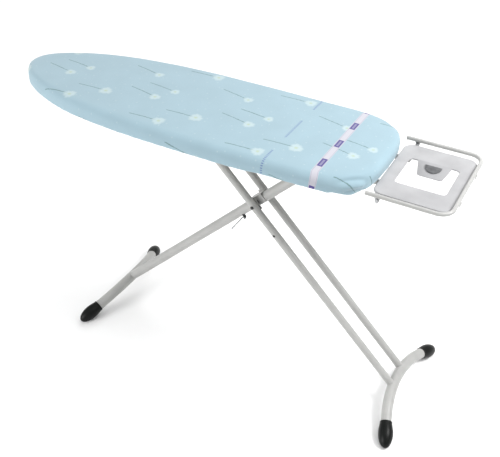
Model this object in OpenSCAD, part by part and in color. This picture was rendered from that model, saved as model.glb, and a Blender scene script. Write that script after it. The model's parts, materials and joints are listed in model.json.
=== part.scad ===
// Folding ironing board with a padded cover, crossed tube legs, a stepless
// height lock and a tubular iron rest at its heel end.
//
// Frame: +X runs from the nose to the iron rest, +Z up. The origin is on the
// floor, under the middle of the board and rest taken together. The parts are
// drawn about the leg crossing and place() moves them into that frame.

/* [Board] */
// Length of the covered board, nose to heel
board_length = 1274; // [1160:1:1410]
// Width of the covered board
board_width = 440; // [360:1:540]
// Height of the ironing surface above the floor
board_height = 900; // [840:1:1080]
// Length of the tapering nose
nose_length = 720; // [560:1:860]
// Length of the rounded heel
heel_length = 255; // [220:1:330]
// Depth of the cover from the top to the underside of its hem
skirt_depth = 45.5; // [42:0.5:60]
// Cloth thickness of the cover
cover_t = 1.5; // [1:0.1:2.5]
// Foam thickness on top of the deck
foam_t = 6.8; // [4:0.1:10]
// Foam thickness down the side of the rim
edge_roll = 10; // [6:0.5:14]
// How far the hem reaches in under the rim
hem_reach = 22; // [15:1:30]
// Sheet thickness of the deck, the rim and the braces
deck_t = 2; // [1.5:0.1:3]

/* [Legs] */
// Angle of both legs to the floor
leg_angle = 45; // [40:0.5:47]
// Leg length from the crossing up to the board
upper_arm = 315; // [280:1:350]
// Depth of the leg hinge below the ironing surface
hinge_drop = 68; // [66:0.5:76]
// Distance from the leg hinge to the heel end of the board
hinge_to_heel = 183; // [160:1:220]
// Outer diameter of the single leg
main_tube_d = 33; // [28:0.5:36]
// Outer diameter of the paired legs
slim_tube_d = 25; // [20:0.5:26]
// Distance between the middles of the paired legs
slim_spacing = 90; // [86:1:100]
// Wall of all the leg and foot tubes
tube_wall = 1.5; // [1:0.1:2]
// Tube left above each top pin
tube_overrun = 14; // [12:0.5:18]

/* [Feet] */
// Outer diameter of the foot tubes
foot_tube_d = 36; // [34:0.5:40]
// Bend radius of the foot tubes
foot_bend_r = 390; // [320:1:460]
// Half the angle that a foot tube bends through
foot_bend_angle = 27; // [22:0.5:32]
// Largest diameter of a rubber cap
cap_d = 48; // [45:0.5:54]
// Rounded length of a cap past its widest ring
cap_nose = 49; // [42:1:60]
// Length of foot tube inside a cap
cap_seat = 42; // [34:1:48]
// Depth of the flat worn on the floor side of a cap
cap_flat = 2; // [1:0.1:3]

/* [Leg crossing] */
// Diameter of the axle through both legs
axle_d = 8; // [6:0.5:10]
// Length of the saddle on the single leg
saddle_length = 62; // [50:1:80]
// Length of the plates inside the paired legs
pivot_plate_length = 46; // [36:1:60]
// Sheet thickness of the saddle and plates
pivot_t = 2.5; // [2:0.1:3]
// Diameter of the plastic spacers
spacer_d = 15; // [13:0.5:18]
// Distance down the paired legs to the plugged holes
plug_distance = 116; // [90:1:140]

/* [Transport lock] */
// Distance down the single leg to the lock wire
lock_distance = 92; // [80:1:120]
// Diameter of the lock wire
lock_wire_d = 4; // [3:0.25:4.5]
// Reach of the lock wire from its bush
lock_reach = 84; // [75:1:95]

/* [Height lock] */
// Diameter of the pins in the tops of the paired legs
pin_d = 10; // [8:0.5:11]
// Inside width of a guide channel
guide_width = 22; // [20:0.5:26]
// Length of a runner
runner_length = 44; // [36:1:50]
// Height of a runner
runner_height = 20; // [16:0.5:24]
// Length of the release lever from its pin
lever_length = 104; // [90:1:120]
// Lowest board height that the guides allow for before folding
fold_margin = 24; // [18:1:30]

/* [Iron rest] */
// How far the ends of the rest tube reach back past the heel end
rest_overlap = 6; // [0:1:10]
// Length of the rest frame, over the tube's middle line
rest_length = 233; // [210:1:270]
// Width of the rest frame, over the tube's middle line
rest_width = 348; // [320:1:400]
// Outer diameter of the rest tube
rest_tube_d = 12; // [10:0.5:13]
// Bend radius of the rest tube
rest_bend_r = 38; // [30:1:50]
// Height of the rest tube's middle line below the ironing surface
rest_drop = 32; // [31:0.5:34]
// Length of the tray
tray_length = 219; // [200:1:220]
// Gap between the tray's sides and the rest tube
tray_side_gap = 16; // [10:1:24]
// Corner radius of the tray
tray_corner_r = 30; // [20:1:40]
// Sheet thickness of the tray
tray_t = 1.2; // [0.8:0.1:2]
// Depth of the tray's turned-down edge
tray_edge = 7; // [6:0.5:9]
// Length of the tray window
window_length = 148; // [130:1:156]
// Width of the tray window
window_width = 146; // [130:1:160]
// Length of the flap in the window
flap_length = 49; // [40:1:55]
// Drop of the flap's free edge
flap_drop = 20; // [14:1:21]
// Radius of the heel pad on the flap
pad_r = 25; // [20:1:28]

/* [Hidden] */
$fn = 64;

NEAR = -1;                       // sign of Y on the near side
FAR = 1;                         // sign of Y on the far side
slack = 0.2;                     // gap between layers of the board
run_gap = 0.3;                   // gap between faces that slide past
pin_gap = 0.06;                  // radial gap between a pin and its hole
side_gap = 0.5;                  // gap between a leg and the plates beside it
nose_power = 2.5;                // fullness of the nose curve
heel_power = 3.3;                // squareness of the heel curve
curve_steps = 16;                // points along a quarter of the outline

painted = "gainsboro";
steel = "silver";
black = "#2a2c2b";
grey_plastic = "#77787a";
cloth = "lightblue";

// Heights, from the floor up
hinge_z = board_height - hinge_drop;
cross_z = hinge_z - upper_arm * sin(leg_angle);
cloth_z = board_height - cover_t;
foam_z = cloth_z - slack - foam_t;
deck_z = foam_z - slack - deck_t;
brace_z = deck_z - deck_t;
hem_z = board_height - skirt_depth;
rim_z = hem_z + cover_t + 1;

// Lengths along the board, measured from the leg crossing
hinge_x = upper_arm * cos(leg_angle);
heel_x = hinge_x + hinge_to_heel;
nose_x = heel_x - board_length;
nose_wide_x = nose_x + nose_length;
heel_wide_x = heel_x - heel_length;
rest_x = heel_x - rest_overlap;
rest_end_x = rest_x + rest_length;

// Insets from the outline of the cover
foam_inset = cover_t + slack;
rim_inset = foam_inset + edge_roll;
rim_inner_inset = rim_inset + deck_t;
hem_inset = rim_inner_inset + hem_reach;

// Feet: both are bent in the plane of their legs
main_r = main_tube_d / 2;
slim_r = slim_tube_d / 2;
foot_r = foot_tube_d / 2;
slim_y = slim_spacing / 2;
cap_wide_at = cap_seat - 4;
cap_tilt = asin(sin(foot_bend_angle) * sin(leg_angle));
cap_low = sqrt(pow(cap_nose * sin(cap_tilt), 2)
    + pow(cap_d / 2 * cos(cap_tilt), 2));
foot_end_z = cap_low - cap_flat - (cap_seat - cap_wide_at) * sin(cap_tilt);
foot_rise = foot_bend_r * (1 - cos(foot_bend_angle))
    + cap_seat * sin(foot_bend_angle);
lower_arm = (cross_z - foot_end_z) / sin(leg_angle) - foot_rise;

// Leg crossing, from the middle outwards
saddle_in_y = main_r + 0.1;
saddle_out_y = saddle_in_y + pivot_t;
plate_out_y = slim_y - slim_r;
plate_in_y = plate_out_y - pivot_t;
slim_out_y = slim_y + slim_r;
axle_cap_t = 3.5;

// Height lock
pin_r = pin_d / 2;
guide_in_y = slim_out_y + 4.5;
guide_out_y = guide_in_y + 2 * deck_t + guide_width;
guide_bottom_z = hinge_z - 18;
guide_flange = 14;
travel_top = hinge_x - 2 * upper_arm * cos(leg_angle + 4);
travel_folded = hinge_x - 2 * upper_arm;
guide_heel_x = travel_top + runner_length / 2 + fold_margin;
guide_nose_x = travel_folded - runner_length / 2 - fold_margin / 2;
cam_offset = 3;
cam_r = hinge_z - guide_bottom_z - deck_t - cam_offset - run_gap;
lever_in_y = guide_out_y + 5;
lever_t = 3;
grip_t = 12;
clip_y = lever_in_y + lever_t + 1;

// Iron rest
rest_r = rest_tube_d / 2;
rest_y = rest_width / 2;
rest_z = board_height - rest_drop;
tray_z = rest_z - 5;
tray_y = rest_y - rest_r - tray_side_gap;
tray_x = rest_end_x - rest_r - run_gap - tray_length;
window_x = tray_x + 37;
rod_r = 4;
rod_x = tray_x + 27;
rod_z = tray_z - tray_t - rod_r - 0.3;
arm_t = 6;
arm_width = 20;
arm_y = 80;
arm_x = heel_x - 106;
arm_z = rod_z - rod_r - arm_t;
post_x = arm_x + 12;
post_length = 30;
lug_t = 3;

brace_width = 30;
rivet_r = 3;

// Moves a part from the leg crossing into the frame of the whole object
place_x = -(nose_x + rest_end_x + rest_r) / 2;
module place() {
    translate([place_x, 0, 0]) children();
}

// ---- Outline of the board -------------------------------------------------

function nose_curve(half, length) = [
    for (i = [0 : curve_steps]) let (t = 90 * i / curve_steps)
        [nose_wide_x - length * pow(cos(t), 2 / nose_power), half * sin(t)]
];

function heel_curve(half, length) = [
    for (i = [0 : curve_steps]) let (t = 90 * i / curve_steps)
        [heel_wide_x + length * pow(sin(t), 2 / heel_power),
         half * pow(cos(t), 2 / heel_power)]
];

function far_side(inset) = concat(
    nose_curve(board_width / 2 - inset, nose_length - inset),
    heel_curve(board_width / 2 - inset, heel_length - inset)
);

// The whole outline, moved in by inset, counter-clockwise from above
function outline(inset) = let (side = far_side(inset), last = len(side) - 1)
    concat(
        [for (i = [last : -1 : 0]) side[i]],
        [for (i = [1 : last - 1]) [side[i].x, -side[i].y]]
    );

// Half the width of the outline at x, moved in by inset
function half_width(x, inset) = let (
        half = board_width / 2 - inset,
        to_nose = max(0, (nose_wide_x - x) / (nose_length - inset)),
        to_heel = max(0, (x - heel_wide_x) / (heel_length - inset))
    )
    to_nose > 0
        ? half * sqrt(1 - pow(to_nose, nose_power))
        : half * pow(1 - pow(to_heel, heel_power), 1 / heel_power);

// A solid through outlines of the board, given as [inset, z] from below up
module board_loft(levels) {
    rings = [for (level = levels) outline(level[0])];
    count = len(rings[0]);
    points = [
        for (k = [0 : len(levels) - 1]) for (p = rings[k])
            [p.x, p.y, levels[k][1]]
    ];
    sides = [
        for (k = [0 : len(levels) - 2]) for (i = [0 : count - 1])
            let (j = (i + 1) % count, a = k * count, b = a + count)
            each [[a + i, b + i, b + j], [a + i, b + j, a + j]]
    ];
    bottom = [for (i = [0 : count - 1]) i];
    top = [for (i = [count - 1 : -1 : 0]) (len(levels) - 1) * count + i];
    polyhedron(points, concat([bottom, top], sides), convexity = 4);
}

module board_ring(outer_inset, inner_inset, z, height) {
    translate([0, 0, z]) linear_extrude(height) difference() {
        polygon(outline(outer_inset));
        polygon(outline(inner_inset));
    }
}

// The rounded shoulder of the cover and the foam: levels from z up to top
function shoulder(inset, top, radius, steps) = [
    for (i = [0 : steps]) let (t = 90 * i / steps)
        [inset + radius * (1 - cos(t)), top - radius * (1 - sin(t))]
];

// ---- Board layers ---------------------------------------------------------

shoulder_r = foam_t + edge_roll * 0.6;

module cover() {
    color(cloth) difference() {
        board_loft(concat(
            [[3, hem_z], [0, hem_z + 4]],
            shoulder(0, board_height, shoulder_r + cover_t, 4)));
        board_loft(concat(
            [[cover_t + 3, hem_z + cover_t], [cover_t, hem_z + cover_t + 4]],
            shoulder(cover_t, cloth_z, shoulder_r, 4)));
        translate([0, 0, hem_z - 1]) linear_extrude(cover_t + 2)
            polygon(outline(hem_inset));
    }
}

module foam_pad() {
    color("white") difference() {
        board_loft(concat([[foam_inset, rim_z + 6]],
            shoulder(foam_inset, cloth_z - slack, shoulder_r - slack, 4)));
        translate([0, 0, rim_z]) linear_extrude(foam_z - rim_z)
            polygon(outline(rim_inset - slack));
    }
}

module hem_elastic() {
    color("white") board_ring(hem_inset - 3.5, hem_inset, hem_z + cover_t, 3.5);
}

module deck_mesh() {
    color(painted) translate([0, 0, deck_z]) linear_extrude(deck_t)
        polygon(outline(rim_inset));
}

module rim_frame() {
    color(painted) board_ring(rim_inset, rim_inner_inset, rim_z, deck_z - rim_z);
}

// A flat bar across the underside of the deck
module brace(x, width) {
    half = min(half_width(x - width / 2, rim_inner_inset),
        half_width(x + width / 2, rim_inner_inset)) - run_gap;
    color(painted) translate([x - width / 2, -half, brace_z])
        cube([width, 2 * half, deck_t]);
}

// ---- Leg hinge under the board --------------------------------------------

clevis_t = 3;
clevis_in_y = main_r + side_gap;
clevis_out_y = clevis_in_y + clevis_t;
clevis_length = 38;

module hinge_clevis() {
    cheek_bottom = hinge_z - 16;
    plate_half = clevis_out_y + 4;
    color(painted) difference() {
        union() {
            for (side = [NEAR, FAR])
                translate([hinge_x - clevis_length / 2,
                        side * (clevis_in_y + clevis_t / 2) - clevis_t / 2,
                        cheek_bottom])
                    cube([clevis_length, clevis_t, brace_z - cheek_bottom]);
            translate([hinge_x - clevis_length / 2, -plate_half,
                    brace_z - clevis_t])
                cube([clevis_length, 2 * plate_half, clevis_t]);
        }
        translate([hinge_x, 0, hinge_z]) rotate([90, 0, 0])
            cylinder(h = 4 * clevis_out_y, r = pin_r, center = true);
    }
}

module hinge_pin() {
    head_t = 3;
    color(steel) translate([hinge_x, 0, hinge_z]) rotate([90, 0, 0]) {
        cylinder(h = 2 * clevis_out_y, r = pin_r, center = true);
        for (side = [NEAR, FAR])
            translate([0, 0, side * (clevis_out_y + head_t / 2)])
                cylinder(h = head_t, r = pin_r + 3, center = true);
    }
}

// ---- Guides for the tops of the paired legs -------------------------------

// A channel hung under the deck, slotted on both walls for the slider pin
module guide(side) {
    slot_r = pin_r + run_gap;
    length = guide_heel_x - guide_nose_x;
    wall_mid = [guide_in_y + deck_t / 2, guide_out_y - deck_t / 2];
    color(painted) difference() {
        union() {
            for (y = wall_mid)
                translate([guide_nose_x, side * y - deck_t / 2, guide_bottom_z])
                    cube([length, deck_t, brace_z - guide_bottom_z]);
            translate([guide_nose_x,
                    min(side * guide_in_y, side * guide_out_y),
                    brace_z - deck_t])
                cube([length, guide_out_y - guide_in_y, deck_t]);
            translate([guide_nose_x,
                    min(side * guide_out_y, side * (guide_out_y + guide_flange))
                        - side * deck_t,
                    guide_bottom_z])
                cube([length, guide_flange, deck_t]);
        }
        for (x = [travel_folded, travel_top])
            translate([x, side * (guide_in_y + guide_out_y) / 2, hinge_z])
                rotate([90, 0, 0])
                    cylinder(h = 3 * guide_width, r = slot_r, center = true);
        translate([travel_folded,
                side * (guide_in_y + guide_out_y) / 2 - 1.5 * guide_width,
                hinge_z - slot_r])
            cube([travel_top - travel_folded, 3 * guide_width, 2 * slot_r]);
    }
}

module guide_rivets() {
    color(steel)
        for (side = [NEAR, FAR]) for (x = [guide_heel_x, guide_nose_x])
            translate([x + (x == guide_heel_x ? -1 : 1) * brace_width / 2,
                    side * (guide_in_y + guide_out_y) / 2,
                    brace_z - deck_t - 2])
                cylinder(h = 2, r1 = rivet_r, r2 = rivet_r + 1);
}

module runner(side) {
    width = guide_width - 2 * run_gap;
    color(black) difference() {
        translate([-hinge_x, side * (guide_in_y + guide_out_y) / 2, hinge_z])
            cube([runner_length, width, runner_height], center = true);
        slider_axis(side) cylinder(h = 3 * guide_width,
            r = pin_r + pin_gap, center = true);
    }
}

module slider_axis(side) {
    translate([-hinge_x, side * (guide_in_y + guide_out_y) / 2, hinge_z])
        rotate([90, 0, 0]) children();
}

// The pin that a paired leg slides on; the near one also carries the lever
module slider_pin(side) {
    inner = plate_out_y + tube_wall + 0.5;
    outer = side == NEAR ? clip_y + 4 : guide_out_y + 3;
    color(steel) translate([-hinge_x, side * (inner + outer) / 2, hinge_z])
        rotate([90, 0, 0])
            cylinder(h = outer - inner, r = pin_r, center = true);
}

// The lever turns a cam that grips the flange of the near guide
module cam_lever() {
    hole_r = pin_r + pin_gap;
    color(steel) translate([-hinge_x, -lever_in_y, hinge_z])
        rotate([90, 0, 0]) linear_extrude(lever_t) difference() {
            union() {
                translate([0, -cam_offset]) circle(cam_r);
                translate([-lever_length + 6, -6]) square([lever_length, 12]);
            }
            circle(hole_r);
        }
}

module lever_grip() {
    length = 62;
    height = 20;
    color(black) difference() {
        translate([-hinge_x - lever_length + length / 2,
                -lever_in_y - lever_t / 2, hinge_z]) {
            cube([length, grip_t, height - 8], center = true);
            for (dz = [-1, 1])
                translate([0, 0, dz * (height / 2 - 4)]) rotate([0, 90, 0])
                    cylinder(h = length, r = 4, center = true);
        }
        translate([-hinge_x - lever_length + 6, -lever_in_y - lever_t,
                hinge_z - 6])
            cube([lever_length, lever_t, 12]);
    }
}

// A torsion spring round the pin, its arm pressing down on the lever
module lever_spring() {
    wire_r = 0.7;
    coil_r = pin_r + wire_r + 0.4;
    color(steel) translate([-hinge_x, -guide_out_y - 0.4, hinge_z])
        rotate([90, 0, 0]) {
            for (turn = [0 : 2])
                translate([0, 0, wire_r + turn * 2 * wire_r])
                    rotate_extrude() translate([coil_r, 0]) circle(wire_r);
            translate([0, coil_r, 5 * wire_r]) rotate([0, -90, 0])
                cylinder(h = 24, r = wire_r);
        }
}

module lever_clip() {
    color(black) translate([-hinge_x, -clip_y, hinge_z]) rotate([90, 0, 0])
        difference() {
            cylinder(h = 2, r = pin_r + 3);
            translate([0, 0, -1]) cylinder(h = 4, r = pin_r);
        }
}

// ---- Legs and feet --------------------------------------------------------

// Frames of the two legs: +X runs down the leg from the crossing
module main_frame() {
    translate([0, 0, cross_z]) rotate([0, 180 - leg_angle, 0]) children();
}

module slim_frame() {
    translate([0, 0, cross_z]) rotate([0, leg_angle, 0]) children();
}

module tube_between(x0, x1, y, r) {
    translate([x0, y, 0]) rotate([0, 90, 0]) cylinder(h = x1 - x0, r = r);
}

module cross_hole(x, y, reach, r) {
    translate([x, y, 0]) rotate([90, 0, 0])
        cylinder(h = reach, r = r, center = true);
}

// The bend of a foot and its straight ends, as a solid bar of radius r
module foot_bar(r, end_length) {
    translate([lower_arm + foot_bend_r, 0, 0])
        rotate([0, 0, 180 - foot_bend_angle])
            rotate_extrude(angle = 2 * foot_bend_angle)
                translate([foot_bend_r, 0]) circle(r);
    for (side = [NEAR, FAR])
        foot_end(side) cylinder(h = end_length, r = r);
}

// Origin where the bend ends, +Z along the straight end, outwards
module foot_end(side) {
    translate([lower_arm + foot_bend_r * (1 - cos(foot_bend_angle)),
            side * foot_bend_r * sin(foot_bend_angle), 0])
        rotate([0, 0, side * (90 - foot_bend_angle)])
            rotate([0, 90, 0]) children();
}

module foot_tube() {
    color(painted) difference() {
        foot_bar(foot_r, cap_seat);
        foot_bar(foot_r - tube_wall, cap_seat + 1);
    }
}

module main_leg_tube() {
    top = -upper_arm - tube_overrun;
    color(painted) main_frame() difference() {
        tube_between(top, lower_arm, 0, main_r);
        tube_between(top - 1, lower_arm + 1, 0, main_r - tube_wall);
        foot_bar(foot_r, cap_seat);
        cross_hole(0, 0, 3 * main_tube_d, axle_d / 2 + pin_gap);
        cross_hole(-upper_arm, 0, 3 * main_tube_d, pin_r + pin_gap);
    }
}

module slim_leg(side) {
    top = -upper_arm - tube_overrun;
    color(painted) slim_frame() difference() {
        tube_between(top, lower_arm + 6, side * slim_y, slim_r);
        tube_between(top - 1, lower_arm + 7, side * slim_y,
            slim_r - tube_wall);
        foot_bar(foot_r, cap_seat);
        cross_hole(0, side * slim_y, 2 * slim_tube_d, axle_d / 2);
        cross_hole(-upper_arm, side * slim_y, 2 * slim_tube_d, pin_r);
        cross_hole(plug_distance, side * (slim_y + slim_r), slim_tube_d,
            rivet_r);
    }
}

// Radius of a cap at t along its axis, from its open end
function cap_radius(t) = t < cap_wide_at
    ? foot_r + 2.4 + (cap_d / 2 - foot_r - 2.4) * sin(90 * t / cap_wide_at)
    : cap_d / 2 * sqrt(max(0, 1 - pow((t - cap_wide_at) / cap_nose, 2)));

module foot_cap(side) {
    skirt = [for (i = [0 : 5])
        let (t = cap_wide_at * i / 5) [cap_radius(t), t]];
    dome = [for (i = [1 : 12])
        let (a = 90 * i / 12)
            [cap_d / 2 * cos(a), cap_wide_at + cap_nose * sin(a)]];
    foot_end(side) difference() {
        rotate_extrude() polygon(concat([[0, 0]], skirt, dome));
        translate([0, 0, -1]) cylinder(h = cap_seat + 1, r = foot_r);
    }
}

// Takes away everything under the floor, so that caps stand on flats
module above_floor() {
    difference() {
        children();
        translate([-2 * board_length, -board_length, -board_length])
            cube([4 * board_length, 2 * board_length, board_length]);
    }
}

module main_cap(side) {
    color(black) above_floor() main_frame() foot_cap(side);
}

module slim_cap(side) {
    color(black) above_floor() slim_frame() foot_cap(side);
}

// A plug in the top end of a leg tube
module tube_plug(y, r) {
    stem = r - tube_wall;
    top = -upper_arm - tube_overrun;
    translate([top, y, 0]) rotate([0, 90, 0]) {
        cylinder(h = 6, r = stem);
        translate([0, 0, -3]) cylinder(h = 3, r1 = r - 2, r2 = r);
    }
}

module main_top_plug() {
    color(black) main_frame() tube_plug(0, main_r);
}

module slim_top_plugs() {
    color(black) slim_frame() for (side = [NEAR, FAR])
        tube_plug(side * slim_y, slim_r);
}

// ---- Leg crossing ---------------------------------------------------------

// A folded plate that straddles the single leg and carries the axle
module pivot_saddle() {
    wing = main_r + 2;
    color(steel) main_frame() difference() {
        translate([-saddle_length / 2, -saddle_out_y, -main_r - pivot_t])
            cube([saddle_length, 2 * saddle_out_y, main_r + pivot_t + wing - 6]);
        translate([-saddle_length, -saddle_in_y, -main_r])
            cube([2 * saddle_length, 2 * saddle_in_y, 3 * main_r]);
        cross_hole(0, 0, 3 * main_tube_d, axle_d / 2 + pin_gap);
    }
}

module pivot_axle() {
    color(steel) translate([0, 0, cross_z]) rotate([90, 0, 0])
        cylinder(h = 2 * slim_out_y, r = axle_d / 2, center = true);
}

module pivot_plates() {
    width = slim_tube_d - 3;
    color(steel) slim_frame() for (side = [NEAR, FAR]) difference() {
        translate([0, side * (plate_in_y + plate_out_y) / 2, 0])
            cube([pivot_plate_length, pivot_t, width], center = true);
        cross_hole(0, side * plate_in_y, slim_tube_d, axle_d / 2);
    }
}

module pivot_spacers() {
    from_y = saddle_out_y + run_gap;
    color(black) translate([0, 0, cross_z]) for (side = [NEAR, FAR])
        translate([0, side * (from_y + plate_in_y) / 2, 0])
            rotate([90, 0, 0]) difference() {
                cylinder(h = plate_in_y - from_y, r = spacer_d / 2,
                    center = true);
                cylinder(h = slim_tube_d, r = axle_d / 2, center = true);
            }
}

module axle_caps() {
    color(black) translate([0, 0, cross_z]) for (side = [NEAR, FAR])
        translate([0, side * (slim_out_y + axle_cap_t / 2), 0])
            rotate([side * -90, 0, 0])
                cylinder(h = axle_cap_t, r1 = axle_d / 2 + 2, r2 = axle_d / 2,
                    center = true);
}

module hole_plugs() {
    head_t = 2;
    color(black) slim_frame() for (side = [NEAR, FAR])
        translate([plug_distance, side * slim_out_y, 0])
            rotate([side * -90, 0, 0]) {
                translate([0, 0, -3]) cylinder(h = 3, r = rivet_r);
                cylinder(h = head_t, r1 = rivet_r + 1.2, r2 = rivet_r);
            }
}

// ---- Transport lock -------------------------------------------------------

lock_z = slim_r + lock_wire_d / 2 + 3.5;    // wire, out from the leg's axis
lock_bush_r = 5;
lock_bush_y = -8;

// A bush under the single leg; the wire turns in it about the leg's normal
module lock_bush() {
    color(black) main_frame() difference() {
        translate([lock_distance, lock_bush_y, 0])
            cylinder(h = lock_z + lock_wire_d / 2 + 4, r = lock_bush_r);
        tube_between(lock_distance - 20, lock_distance + 20, 0, main_r);
        translate([lock_distance, lock_bush_y, main_r - 4])
            cylinder(h = 20, r = lock_wire_d / 2 + pin_gap);
    }
}

module lock_wire() {
    r = lock_wire_d / 2;
    over = lock_bush_r + r + 1;
    rise = lock_z + lock_wire_d / 2 + 4 + r + run_gap;
    color(steel) main_frame() translate([lock_distance, lock_bush_y, 0]) {
        translate([0, 0, main_r + 1]) cylinder(h = rise - main_r - 1, r = r);
        translate([0, 0, rise]) sphere(r);
        translate([0, 0, rise]) rotate([90, 0, 0])
            cylinder(h = over, r = r);
        translate([0, -over, rise]) sphere(r);
        translate([0, -over, lock_z]) cylinder(h = rise - lock_z, r = r);
        translate([0, -over, lock_z]) sphere(r);
        translate([0, -over, lock_z]) rotate([90, 0, 0])
            cylinder(h = lock_reach - over, r = r);
        translate([0, -lock_reach, lock_z]) sphere(r);
    }
}

// ---- Iron rest ------------------------------------------------------------

// The bent rail of the rest as a solid bar of radius r
module rest_bar(r, overrun) {
    straight = rest_length - rest_bend_r;
    inner_y = rest_y - rest_bend_r;
    translate([rest_x, 0, rest_z]) {
        for (side = [NEAR, FAR]) {
            translate([-overrun, side * rest_y, 0]) rotate([0, 90, 0])
                cylinder(h = straight + overrun, r = r);
            translate([straight, side * inner_y, 0])
                rotate([0, 0, side == FAR ? 0 : -90])
                    rotate_extrude(angle = 90)
                        translate([rest_bend_r, 0]) circle(r);
        }
        translate([rest_length, 0, 0]) rotate([90, 0, 0])
            cylinder(h = 2 * inner_y, r = r, center = true);
    }
}

module rest_frame() {
    color(painted) difference() {
        rest_bar(rest_r, 0);
        rest_bar(rest_r - 1, 1);
    }
}

module rest_end_plugs() {
    color(grey_plastic) for (side = [NEAR, FAR])
        translate([rest_x, side * rest_y, rest_z]) rotate([0, 90, 0]) {
            translate([0, 0, -1.5]) cylinder(h = 1.5, r = rest_r);
            cylinder(h = 6, r = rest_r - 1);
        }
}

// A rectangle from x0, of the given length and width, with round corners
module round_rectangle(x0, length, width, r) {
    translate([x0 + r, -width / 2]) square([length - 2 * r, width]);
    translate([x0, -width / 2 + r]) square([length, width - 2 * r]);
    for (x = [x0 + r, x0 + length - r])
        for (y = [-width / 2 + r, width / 2 - r])
            translate([x, y]) circle(r);
}

flap_root = 102;                                  // width at the hinge line
flap_tip = 73;                                    // width at the free edge
flap_slope = atan(flap_drop / flap_length);
flap_reach = sqrt(pow(flap_length, 2) + pow(flap_drop, 2));
flap_x = window_x + window_length / 2;

// Origin at the middle of the flap's root, +X along the root, +Y down it
module flap_frame() {
    translate([flap_x, window_width / 2, tray_z - tray_t])
        rotate([flap_slope, 0, 0]) mirror([0, 1, 0]) children();
}

module rest_tray() {
    color(painted) {
        difference() {
            translate([0, 0, tray_z - tray_edge]) linear_extrude(tray_edge)
                round_rectangle(tray_x, tray_length, 2 * tray_y,
                    tray_corner_r);
            translate([0, 0, tray_z - tray_edge - 1]) linear_extrude(
                tray_edge + 1 - tray_t)
                round_rectangle(tray_x + tray_t, tray_length - 2 * tray_t,
                    2 * tray_y - 2 * tray_t, tray_corner_r - tray_t);
            translate([0, 0, tray_z - tray_edge]) linear_extrude(
                2 * tray_edge)
                round_rectangle(window_x, window_length, window_width, 12);
            translate([rod_x, 0, rod_z]) rotate([90, 0, 0])
                cylinder(h = rest_width, r = rod_r + pin_gap, center = true);
        }
        flap_frame() linear_extrude(tray_t)
            polygon([[-flap_root / 2, -0.1], [flap_root / 2, -0.1],
                [flap_tip / 2, flap_reach], [-flap_tip / 2, flap_reach]]);
    }
}

// A half-round pad on the flap, where the heel of the iron stands
module rest_heel_pad() {
    color(grey_plastic) flap_frame() translate([0, 7, tray_t])
        linear_extrude(2.5) difference() {
            circle(pad_r);
            translate([-pad_r - 1, -2 * pad_r]) square(2 * pad_r + 2);
        }
}

module rest_rod() {
    color(steel) translate([rod_x, 0, rod_z]) rotate([90, 0, 0])
        cylinder(h = 2 * (rest_y + rest_r), r = rod_r, center = true);
}

// Tapering lugs under the rest tube that hold the ends of the rod
module rest_lugs() {
    top = rest_z - rest_r - rod_z;
    color(grey_plastic) for (side = [NEAR, FAR]) difference() {
        translate([rod_x, side * rest_y + lug_t / 2, rod_z])
            rotate([90, 0, 0]) linear_extrude(lug_t)
                polygon([[-8, top], [8, top], [3, -14], [-3, -14]]);
        translate([rod_x, side * rest_y, rod_z]) rotate([90, 0, 0])
            cylinder(h = 4 * lug_t, r = rod_r, center = true);
    }
}

// Short straps that join the outer edge of the tray to the rest tube
module rest_tabs() {
    top = rest_z - rest_r;
    length = 18;
    color(painted) for (side = [NEAR, FAR])
        translate([rest_end_x - length / 2 - 3, side * 80 - 10,
                tray_z - tray_edge - 2])
            cube([length, 20, 2]);
    color(painted) for (side = [NEAR, FAR])
        translate([rest_end_x - 2, side * 80 - 10, tray_z - tray_edge])
            cube([4, 20, top - tray_z + tray_edge]);
}

module rest_arm(side) {
    color(painted) translate([arm_x, side * arm_y - arm_width / 2, arm_z])
        cube([rod_x + 10 - arm_x, arm_width, arm_t]);
}

// Hollow posts between the heel brace and the arms
module rest_posts() {
    wall = 2;
    height = brace_z - arm_z - arm_t;
    color(painted) for (side = [NEAR, FAR])
        translate([post_x, side * arm_y - arm_width / 2, arm_z + arm_t])
            difference() {
                cube([post_length, arm_width, height]);
                translate([wall, -1, wall])
                    cube([post_length - 2 * wall, arm_width + 2,
                        height - 2 * wall]);
            }
}

module rest_bolts() {
    color(steel) for (side = [NEAR, FAR])
        translate([post_x + post_length / 2, side * arm_y, arm_z])
            mirror([0, 0, 1]) cylinder(h = 3.2, r = 5, $fn = 6);
}

// ---- The whole object -----------------------------------------------------

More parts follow.
